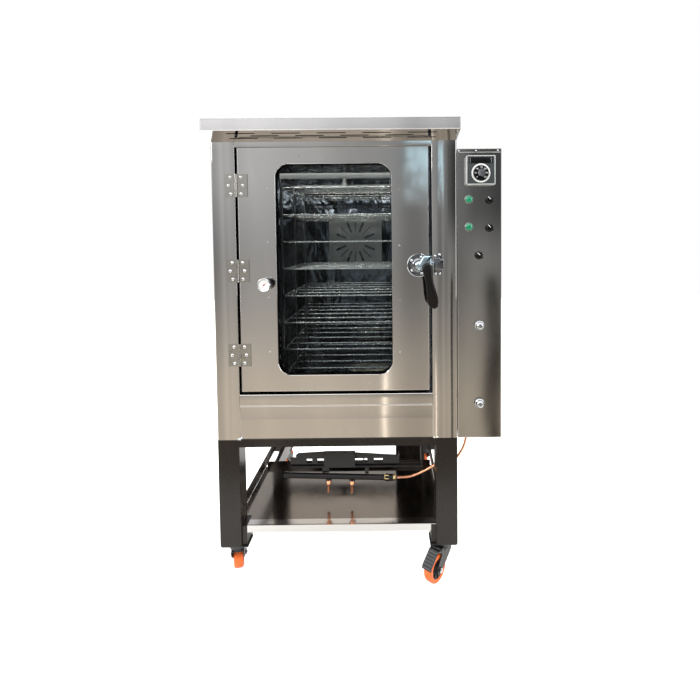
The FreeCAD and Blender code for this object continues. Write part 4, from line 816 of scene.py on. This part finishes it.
BOX_LEFT, BOX_RIGHT, BOX_TOP = 412, 560, 981
box_edge = oblong(BOX_LEFT + 1.2, BOX_RIGHT - 1.2, 1.2, BOX_TOP - 1.2, 2.0, 3)
flange = tube([(BOX_LEFT + 3, 0.2, BOX_TOP - 12), (BOX_RIGHT - 3, 0.2, BOX_TOP - 12)], 0.8, 8)
piece("control_rolled_edges", gather(edge_roll(box_edge, 1.3), flange), box_steel, "oven", "outer_steel")

# %% [markdown]
# ## Rivets and screws
#
# Small heads are turned forms: a profile of a few points carried round. Pop rivets hold the door's two
# skins together, dome screws hold the three hinges, the rosette and the keeper, and three rivets hold
# the control box's front. Heads on the door ride with the door.

# %% Rivets and screws
def head(x, y, z, radius, rise):
    """A domed head with a small dimple, standing out of the sheet towards the viewer."""
    return lathe([(0, -rise * 0.72), (radius * 0.22, -rise * 0.74), (radius * 0.32, -rise),
                  (radius * 0.62, -rise * 0.88),
                  (radius * 0.88, -rise * 0.5), (radius, -rise * 0.12), (radius, 0.3), (0, 0.3)],
                 (x, y, z), steps=18)


LATCH_X, LATCH_Z = 281, 593.5
door_rivets = [head(x, 0, z, 2.7, 1.5) for x, places in
               ((-224.6, (854.6, 675, 489, 304)), (216.5, (846, 660, 475.5, 298)),
                (-120.6, (191.5,)), (112.6, (191.5,)), (-117, (962,)), (117, (962,))) for z in places]
piece("door_rivets", gather(*door_rivets), zinc, "door", "zinc")

HINGE_X, HINGE_LOW, HINGE_PITCH, LEAF = -327.5, 255.4, 285.8, -2.5
door_heads, post_heads = [], []
for rank in range(3):
    base = HINGE_LOW + HINGE_PITCH * rank
    door_heads += [head(HINGE_X + x, LEAF, base + z, 5.6, 3.6) for x, z in ((17, 10.5), (23, 38.5), (17, 66))]
    post_heads += [head(HINGE_X - x, LEAF, base + z, 5.6, 3.6) for x, z in ((17, 10), (25, 38), (18, 66))]
piece("hinge_screws_door", gather(*door_heads), chrome, "door", "bright_steel")
piece("hinge_screws_post", gather(*post_heads), chrome, "oven", "bright_steel")

ROSETTE_FACE = -5
circle = np.radians(2 + 72 * np.arange(5))
rosette_heads = [head(LATCH_X + 28.9 * math.cos(a), ROSETTE_FACE, LATCH_Z + 28.9 * math.sin(a), 5.0, 3.2)
                 for a in circle]
piece("rosette_screws", gather(*rosette_heads), chrome, "door", "bright_steel")

box_rivets = [head(x, 0, 974.5, 3.0, 1.8) for x in (417, 475, 548)]
piece("control_rivets", gather(*box_rivets), chrome, "oven", "bright_steel")

# %% [markdown]
# ## The latch
#
# The handle is a chromed hub with an arm that carries a black moulded grip, and its tongue passes behind
# the catch on the post; the hub's bluish tint is a painted reflection. The rosette is turned, with a bright
# rim round a darker face: the darker chrome of the face is painted shade and the rim's plain chrome a
# painted highlight. The arm is a thick rounded plate, and the grip is lofted: rounded sections whose width
# and place change along an S curve.

# %% Rosette, hub and keeper
rosette_profile = [(6.3, 0), (39.5, 0), (39.5, -3.2), (38.8, -4.6), (37.4, -5.0), (36.2, -4.5), (35.4, -4.0),
                   (23, -4.0), (21.8, -4.6), (19.5, -7.8), (17.0, -8.9), (6.3, -8.9)]
piece("rosette_turned", lathe(rosette_profile, (LATCH_X, 0, LATCH_Z), steps=72, loop=True), shaded_chrome,
      "door", "bright_steel", "latch_rosette")
# A bright chrome ring over the darker face: a painted highlight on the rosette's rim.
rim = lathe([(39.3, -2.6), (39.3, -4.2), (38.2, -5.2), (36.8, -5.2), (36.0, -4.2), (36.0, -2.6)],
            (LATCH_X, 0, LATCH_Z), steps=72, loop=True)
piece("rosette_rim", rim, chrome, "door", "bright_steel")

HUB_OUT = 36
hub = lathe([(0, -9.4), (14, -9.4), (14.4, -12), (14.4, -HUB_OUT + 3), (13.4, -HUB_OUT - 1),
             (10.5, -HUB_OUT - 3.2), (5.5, -HUB_OUT - 4.2), (0, -HUB_OUT - 4.4)], steps=48)
hub_pin = lathe([(0, 0), (6, 0), (6, -10), (0, -10)], steps=24)
tongue = block((0, -17.4, 0), (49.5, -9.4, 11), 1.6)
arm_line = rounded([(12, -8), (-4, -8), (-4, 6), (12, 32), (35, 33), (38, 27), (38, -8), (13, -8)], 4.5)
arm = slab(arm_line, -57 + 0.2, -35, 4.0, 4)
piece("hub_and_tongue", moved(gather(hub, hub_pin, tongue, arm), (LATCH_X, 0, LATCH_Z)), blue_reflection_chrome,
      "lever", "bright_steel", "lever_hub")

KEEP_X, KEEP_LOW, KEEP_TOP = 332, 558, 632.5
keeper_line = [(KEEP_X, KEEP_LOW), (KEEP_X + 28, KEEP_LOW), (KEEP_X + 28, KEEP_TOP - 5),
               (KEEP_X + 23, KEEP_TOP), (KEEP_X + 9, KEEP_TOP), (KEEP_X, KEEP_TOP - 12)]
keeper_plate = slab(rounded([*keeper_line, keeper_line[0]], 2.0), -2.4, 0, 0.9)
catch = block((KEEP_X, -20, 578), (KEEP_X + 33, -1, 613), 3.0)
catch_rib = block((KEEP_X - 0.2, -20, 608), (KEEP_X + 20, -3, 618), 2.5)
piece("keeper_cast", gather(keeper_plate, catch, catch_rib), shaded_chrome, "oven", "bright_steel",
      "latch_keeper")
keeper_heads = [head(x, -2.4, LATCH_Z + z, 4.6, 3.0)
                for x, z in ((336.5, 29.7), (351.1, 34.3), (337.5, -28.5), (352, -28.3))]
piece("keeper_screws", gather(*keeper_heads), chrome, "oven", "bright_steel")


# %% Grip
def grip_shape(rings=44, sides=40):
    """Rounded sections along the grip: share s runs 0 to 1 from head to tip; the line leans as
    3 s s - 2 s s s, bows outwards as sin(pi s), and each section is a superellipse of power 2.8."""
    s = np.linspace(0, 1, rings)
    widths = np.interp(s, [0, 0.03, 0.08, 0.15, 0.30, 0.44, 0.60, 0.76, 0.88, 0.96, 1.0],
                       [0.0, 0.60, 0.93, 1.0, 0.78, 0.72, 0.87, 1.03, 0.98, 0.76, 0.0])
    half_wide = 18 * widths
    tip = np.clip(s - 0.90, 0, 1) / 0.10
    crown = np.clip(0.06 - s, 0, 1) / 0.06
    thick = 9.5 * (1 - 0.22 * s) * np.sqrt(np.clip(1 - 0.8 * tip ** 2 - 0.8 * crown ** 2, 0.02, 1))
    lean = s * s * (3 - 2 * s)
    x = 23 + 20 * lean + 4 * tip ** 2
    y = -(HUB_OUT + 10.2) - 9.5 - 9 * np.sin(np.pi * np.minimum(1, s * 1.1)) + 2 * s
    z = 11.5 + (-141 - 11.5) * s
    t = np.linspace(0, 2 * np.pi, sides, endpoint=False)
    power = 2 / 2.8
    across = np.sign(np.cos(t)) * np.abs(np.cos(t)) ** power
    out = np.sign(np.sin(t)) * np.abs(np.sin(t)) ** power
    rows = np.stack([x[:, None] + half_wide[:, None] * across, y[:, None] + thick[:, None] * out,
                     np.broadcast_to(z[:, None], (rings, sides))], -1)
    return skin_of(rows, around=True)


piece("grip_moulding", moved(grip_shape(), (LATCH_X, 0, LATCH_Z)), grip_black, "lever", "black_plastic",
      "lever_grip", sharp=60)

# %% [markdown]
# ## The dial thermometer
#
# A small bimetal thermometer: a turned steel case with a rolled bezel, a white dial with a scale and a red
# needle. The needle turns on its own post, so it is a piece of its own.

# %% Thermometer
THERMO_X, THERMO_Z, THERMO_OUT = -232, 534.5, -40
case = lathe([(9, 0), (9, -20), (19.5, -20.6), (21.6, -22.5), (22, -26), (22, -37.5), (21.4, -39.4),
              (20.4, -40),
              (19.5, -39.6), (19.2, -38), (19.2, -35.5), (0.9, -35.5), (0.9, -34), (0.0, -34), (0, 0)],
              steps=56)
post_pin = lathe([(0, -34), (0.75, -34), (0.75, -38.8), (0, -38.8)], steps=12)
piece("thermometer_case", moved(gather(case, post_pin), (THERMO_X, 0, THERMO_Z)), chrome, "door",
      "dial_white", "thermometer")
dial = lathe([(1.4, -35.6), (19.0, -35.6), (19.0, -35.9), (1.4, -35.9)], steps=48, loop=True)
piece("thermometer_dial", moved(dial, (THERMO_X, 0, THERMO_Z)), white_face, "door", "dial_white")


def ticks(count, start, sweep, inner, outer, wide, depth, every=5, short=0.5):
    """Scale marks on an arc: thin plates turned about the dial's middle; each long one is inner to outer."""
    marks = []
    for k in range(count):
        reach = inner if k % every == 0 else outer - (outer - inner) * short
        mark = block((reach, depth - 0.15, -wide / 2), (outer, depth, wide / 2), 0.05, 1)
        marks.append(turned(mark, -(start + sweep * k / (count - 1)), "y"))
    return marks


scale = ticks(31, 225, -270, 14.2, 17.6, 0.55, -35.85)
piece("thermometer_scale", moved(gather(*scale), (THERMO_X, 0, THERMO_Z)), ink, "door", "dial_white")
pointer = gather(slab([(-5, -0.9), (13.5, -0.25), (13.5, 0.25), (-5, 0.9)], -37.2, -36.5, 0.2, 1),
                 lathe([(0.85, -36.2), (2.4, -36.2), (2.4, -37.6), (1.8, -38.2), (0.85, -38.2)], loop=True,
                       steps=20))
piece("thermometer_pointer", moved(turned(pointer, -38, "y"), (THERMO_X, 0, THERMO_Z)), red_ink, "needle",
      "black_plastic", "thermometer_needle")

# %% [markdown]
# ## The control box's instruments
#
# The temperature controller has a pale bezel, a dark display window, a white scale ring and a black
# dial with numbers and a slotted metal knob. Two green lamps, three black pointer knobs and two
# chromed fluted knobs follow. Each knob that turns is a piece on its own body.

# %% Temperature controller
CTL_X, CTL_Z, CTL_OUT = BOX_LEFT + 75, 907, -22
DIAL_Z = CTL_Z - 10
body_block = block((CTL_X - 46.5, CTL_OUT + 1.5, CTL_Z - 46.5), (CTL_X + 46.5, 0, CTL_Z + 46.5), 1.5)
rear_block = block((CTL_X - 45.5, 0, CTL_Z - 45.5), (CTL_X + 45.5, 58, CTL_Z + 45.5), 1.5)
piece("controller_body", gather(body_block, rear_block), instrument_face, "oven", "black_plastic",
      "temperature_controller")
frame_bars = []
for x0, x1, z0, z1 in ((-48, 48, 44.8, 48), (-48, 48, -48, -44.8), (-48, -44.8, -48, 48),
                       (44.8, 48, -48, 48)):
    frame_bars.append(block((CTL_X + x0, CTL_OUT, CTL_Z + z0), (CTL_X + x1, -0.2, CTL_Z + z1), 0.9))
piece("controller_bezel", gather(*frame_bars), pale_plastic, "oven", "black_plastic")
display = block((CTL_X - 40, CTL_OUT + 0.6, CTL_Z + 22), (CTL_X + 40, CTL_OUT + 3, CTL_Z + 42), 0.6)
piece("controller_display", display, knob_black, "oven", "black_plastic")
ring = lathe([(25.4, CTL_OUT + 2), (25.4, CTL_OUT + 0.4), (26, CTL_OUT), (30.4, CTL_OUT),
              (31, CTL_OUT + 0.4), (31, CTL_OUT + 2)],
             (CTL_X, 0, DIAL_Z), steps=64, loop=True)
piece("controller_ring", ring, white_face, "oven", "dial_white")
ring_marks = [moved(mark, (CTL_X, 0, DIAL_Z)) for mark in ticks(33, 240, -300, 26.2, 29.6, 0.6,
                                                                CTL_OUT - 0.05, 4)]
lamps_on_display = [block((CTL_X + x, CTL_OUT + 0.3, CTL_Z + z),
                          (CTL_X + x + 3.2, CTL_OUT + 0.8, CTL_Z + z + 1.6), 0.1, 1)
                    for x in (-37, 33) for z in (25, 31, 37)]
piece("controller_ring_marks", gather(*ring_marks), ink, "oven", "dial_white")
piece("controller_display_marks", gather(*lamps_on_display), pale_plastic, "oven", "dial_white")

DIAL_FRONT = CTL_OUT - 3.4
dial_disc = lathe([(4, CTL_OUT - 0.4), (25, CTL_OUT - 0.4), (25, DIAL_FRONT + 0.5), (24.5, DIAL_FRONT),
                   (4, DIAL_FRONT)], steps=56, loop=True)
stem = lathe([(0, 6), (3.9, 6), (3.9, DIAL_FRONT - 1), (0, DIAL_FRONT - 1)], steps=20)
piece("dial_disc", moved(gather(dial_disc, stem), (CTL_X, 0, DIAL_Z)), knob_black, "dial", "black_plastic",
      "controller_dial")
turn_knob = lathe([(0, DIAL_FRONT), (13, DIAL_FRONT), (12.6, DIAL_FRONT - 9), (11.6, DIAL_FRONT - 11),
                   (0, DIAL_FRONT - 11.4)], steps=60, flutes=20, depth=0.025)
bars = [turned(block((-10, DIAL_FRONT - 12, -1.3), (10, DIAL_FRONT - 10, 1.3), 0.5), angle, "y")
        for angle in (40, 130)]
piece("dial_knob", moved(turn_knob, (CTL_X, 0, DIAL_Z)), chrome, "dial", "bright_steel")
piece("dial_cross", moved(gather(*bars), (CTL_X, 0, DIAL_Z)), shaded_chrome, "dial", "bright_steel")


def dial_numbers():
    """Plain numbers round the dial, as raised print: each is a text turned to a mesh and laid on the disc."""
    shapes = []
    for k, number in enumerate(("0", "50", "100", "150", "200", "250", "300")):
        text = bpy.data.curves.new("figure", "FONT")
        text.body, text.size = number, 6.4
        text.align_x, text.align_y = "CENTER", "CENTER"
        text.extrude = 0.1
        holder = bpy.data.objects.new("figure", text)
        mesh = bpy.data.meshes.new_from_object(holder)
        flat = np.empty(len(mesh.vertices) * 3)
        mesh.vertices.foreach_get("co", flat)
        flat = flat.reshape(-1, 3)
        angle = math.radians(225 - 45 * k)
        spots = np.stack([flat[:, 0] + 19 * math.cos(angle), DIAL_FRONT - 0.1 - flat[:, 2],
                          flat[:, 1] + 19 * math.sin(angle)], -1)
        shapes.append((spots, [tuple(face.vertices) for face in mesh.polygons]))
        bpy.data.objects.remove(holder)
        bpy.data.meshes.remove(mesh)
        bpy.data.curves.remove(text)
    points, faces, count = [], [], 0
    for spots, polygons in shapes:
        points.append(spots)
        faces += [[corner + count for corner in face] for face in polygons]
        count += len(spots)
    mesh = bpy.data.meshes.new("dial_numbers")
    mesh.from_pydata(cab(np.concatenate(points) + (CTL_X, 0, DIAL_Z)).tolist(), [], faces)
    mesh.materials.append(white_face)
    thing = bpy.data.objects.new("dial_numbers", mesh)
    bpy.context.scene.collection.objects.link(thing)
    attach(thing, "dial")
    print("dial numbers:", len(mesh.polygons), "faces")


dial_numbers()

# %% Lamps and knobs
lens_profile = [(0, -10), (4, -9.8), (8, -9.0), (10.6, -7.4), (11.8, -5.2), (12, -3.4), (12, -1), (0, -1)]
bezel_profile = [(11.6, 0), (14.5, 0), (14.5, -2.6), (13.8, -4.2), (12.8, -4.4), (12.2, -3.6), (11.6, -2)]
lamp_spots = [(BOX_LEFT + 38.7, 0, z) for z in (812, 720)]
piece("pilot_lenses", gather(*[lathe(lens_profile, spot, steps=40) for spot in lamp_spots]), green_lens,
      "oven", "green_lens", "pilot_lights")
piece("pilot_bezels", gather(*[lathe(bezel_profile, spot, steps=40, loop=True) for spot in lamp_spots]),
      chrome, "oven", "bright_steel")

for body, node, x, z in (("knob_top", "selector_knob_top", 107, 810),
                         ("knob_middle", "selector_knob_middle", 107, 717),
                         ("knob_low", "selector_knob_low", 72, 625)):
    skirt = lathe([(0, -0.4), (14, -0.4), (14, -3.5), (13.2, -5.2), (11.4, -6), (10.4, -17), (9.2, -19.5),
                   (0, -20)], steps=60, flutes=20, depth=0.012)
    handle = block((-12.8, -25.4, -3.1), (12.8, -5, 3.1), 1.6)
    stalk = lathe([(0, 20), (3.9, 20), (3.9, -3), (0, -3)], steps=16)
    spot = (BOX_LEFT + x, 0, z)
    piece(body + "_moulding", moved(turned(gather(skirt, handle, stalk), 45, "y"), spot), knob_black, body,
          "black_plastic", node)
    line = block((-12.6, -25.7, -0.9), (-1, -25.2, 0.9), 0.15, 1)
    piece(body + "_pointer", moved(turned(line, 45, "y"), spot), white_face, body, "dial_white")

for body, node, z in (("gas_upper", "gas_knob_upper", 388), ("gas_lower", "gas_knob_lower", 121)):
    flutes = lathe([(0, -0.4), (16.2, -0.4), (16.4, -2), (16.4, -8), (15.2, -10), (13.6, -11)], steps=96,
                   flutes=12, depth=0.03)
    dome = lathe([(0, -0.6), (13.8, -0.6), (13.8, -11), (13.2, -15), (11.4, -20), (8, -23), (4, -24),
                  (0, -24)], steps=72, flutes=6, depth=0.035)
    stalk = lathe([(0, 20), (3.9, 20), (3.9, -3), (0, -3)], steps=16)
    piece(body + "_cast", moved(gather(flutes, dome, stalk), (BOX_LEFT + 73, 0, z)), shaded_knob_chrome, body,
          "bright_steel", node)

# %% [markdown]
# ## Casters
#
# Each wheel is an orange tread cast onto a black ribbed hub. Both are turned forms about the axle, then
# turned with the fork, because every caster stands at its own angle. The axle's nuts are bright.

# %% Casters
CASTERS = {"fl": (-361, 33, 195), "fr": (361, 33, -40), "rl": (-361, 730, 170), "rr": (361, 730, 200)}
TRAIL, WHEEL, FLOOR = 48, 47, -499
PEDAL_HEAD, PEDAL_TOP, PEDAL_FALL = -54, 110.9, 0.814
GRIP_HALF = 16
tread_profile = [(33, -14), (40, -15.6), (43, -15.8), (45.6, -13.6), (46.7, -10), (47, -5), (47, 5),
                 (46.7, 10), (45.6, 13.6), (43, 15.8), (40, 15.6), (33, 14)]
hub_profile = [(5.2, -18.4), (10.5, -18.4), (11, -17.6), (11, -11), (13, -9.4), (29, -9.4), (31.4, -10.4),
               (33.5, -13.6),
               (34.5, -13.6), (34.5, 13.6), (33.5, 13.6), (31.4, 10.4), (29, 9.4), (13, 9.4), (11, 11),
               (11, 17.6), (10.5, 18.4), (5.2, 18.4)]
for corner, (x, y, angle) in CASTERS.items():
    def mounted(shape, angle=angle, x=x, y=y):
        return moved(turned(shape, angle, "z"), (x, y, FLOOR))
    tread = lathe(tread_profile, (0, -TRAIL, WHEEL), "x", 72, loop=True)
    hub = lathe(hub_profile, (0, -TRAIL, WHEEL), "x", 48, loop=True)
    ribs = []
    for k in range(8):
        for side in (-1, 1):
            rib = block((side * 11.4 - 2.2, -1.2, 10), (side * 11.4 + 2.2, 1.2, 32), 0.6, 1)
            ribs.append(moved(turned(rib, 45 * k, "x"), (0, -TRAIL, WHEEL)))
    piece("tread_" + corner, mounted(tread), orange, "wheel_" + corner, "tread", "caster_wheel_" + corner)
    piece("hub_" + corner, mounted(gather(hub, *ribs)), caster_black, "wheel_" + corner, "tread")
    nuts = [lathe([(0, side * 22.2), (8.9, side * 22.2), (9.2, side * 23), (9.2, side * 27),
                   (8.2, side * 28), (4.5, side * 28),
                   (4.5, side * 30), (0, side * 30)], (0, -TRAIL, WHEEL), "x", 6) for side in (-1, 1)]
    race = [lathe([(24.2, h), (26.2, h + 0.8), (26.6, h + 2.6), (26.2, h + 4.4), (24.2, h + 5.2)], axis="z",
                  steps=40, loop=True)
            for h in (102.5, 109.5)]
    piece("axle_nuts_" + corner, mounted(gather(*nuts)), chrome, "fork_" + corner, "zinc", sharp=25)
    piece("race_rings_" + corner, mounted(gather(*race)), caster_black, "oven", "caster_black")
for corner in ("fl", "fr"):
    x, y, angle = CASTERS[corner]
    grips = [tube([(side, y, PEDAL_TOP + PEDAL_FALL * (y - PEDAL_HEAD))
                   for side in (-GRIP_HALF, GRIP_HALF)], 1.6, 8)
             for y in (-60, -68, -76, -84, -92)]
    grips.append(tube([(-17.5, -98.0, 71), (17.5, -98.0, 71)], 2.0, 8))
    piece("pedal_ribs_" + corner, moved(turned(gather(*grips), angle, "z"), (x, y, FLOOR)), pedal_grey,
          "pedal_" + corner, "caster_black")

# %% [markdown]
# ## Burner fittings
#
# The manifold is black pipe. A brass fitting joins it to the copper tube, and two orifice elbows of
# copper hang below it from black nuts. They are laid over the plain solids, on the pipe's slight slope.

# %% Burner fittings
PIPE_LEFT, PIPE_Y, PIPE_Z, TILT = -210, 138, -198.5, 1.9


def on_pipe(shape, run):
    """Turn a shape to the pipe's slope and set it run millimetres along the pipe from its left end."""
    sloped = turned(moved(shape, (run, 0, 0)), TILT, "y")
    return moved(sloped, (PIPE_LEFT, PIPE_Y, PIPE_Z))


hexagon = lathe([(0, 0), (12.8, 0), (14, 1.4), (14, 15), (12.8, 16.4), (0, 16.4)], axis="x", steps=6)
barrel = lathe([(0, 14), (9.4, 14), (9.4, 31), (0, 31)], axis="x", steps=28)
flare = lathe([(0, 28), (10.4, 28), (11.4, 29), (11.4, 40), (8.4, 44), (5.6, 47), (0, 47)], axis="x", steps=6)
piece("brass_fitting", on_pipe(gather(hexagon, barrel, flare), 368), brass, "oven", "copper", sharp=25)
jets, nuts = [], []
for x in (-51, 37):
    run = (x - PIPE_LEFT) / math.cos(math.radians(TILT))
    nuts.append(on_pipe(lathe([(0, -8), (9.5, -8), (10.6, -9), (10.6, -14), (0, -15)], axis="z", steps=6),
                        run))
    jets.append(on_pipe(lathe([(0, -12), (10.4, -14), (10.8, -18), (10.6, -27.6), (7.6, -30), (5.6, -34),
                               (5.4, -60), (4.2, -63.6), (0, -63.8)], axis="z", steps=28), run))
piece("jet_nuts", gather(*nuts), burner_black, "oven", "burner_black", sharp=25)
piece("copper_jets", gather(*jets), copper, "oven", "copper")

# %% [markdown]
# ## Weld spots
#
# Where the cabinet was tacked to its stand, small bright beads of weld stand at the bottom corners.

# %% Weld spots
def bead(x, y, z, radius, squash=0.7):
    """A lump of weld: half circle profile, flattened."""
    t = np.linspace(-np.pi / 2, np.pi / 2, 7)
    return lathe(np.stack([radius * np.cos(t), radius * squash * np.sin(t)], -1), (x, y, z), steps=14)


spots = [(-334, 0, 2.5, 4.2), (-328, 0, 6.0, 3.4), (-340, 0, 1.5, 2.8), (331, 0, 2.0, 3.0),
         (342, 0, 2.5, 3.0)]
piece("weld_spots", gather(*[bead(*spot) for spot in spots]), chrome, "oven", "outer_steel")

# %% [markdown]
# ## Last update
#
# The view layer is brought up to date once more.

# %% Last update
bpy.context.view_layer.update()
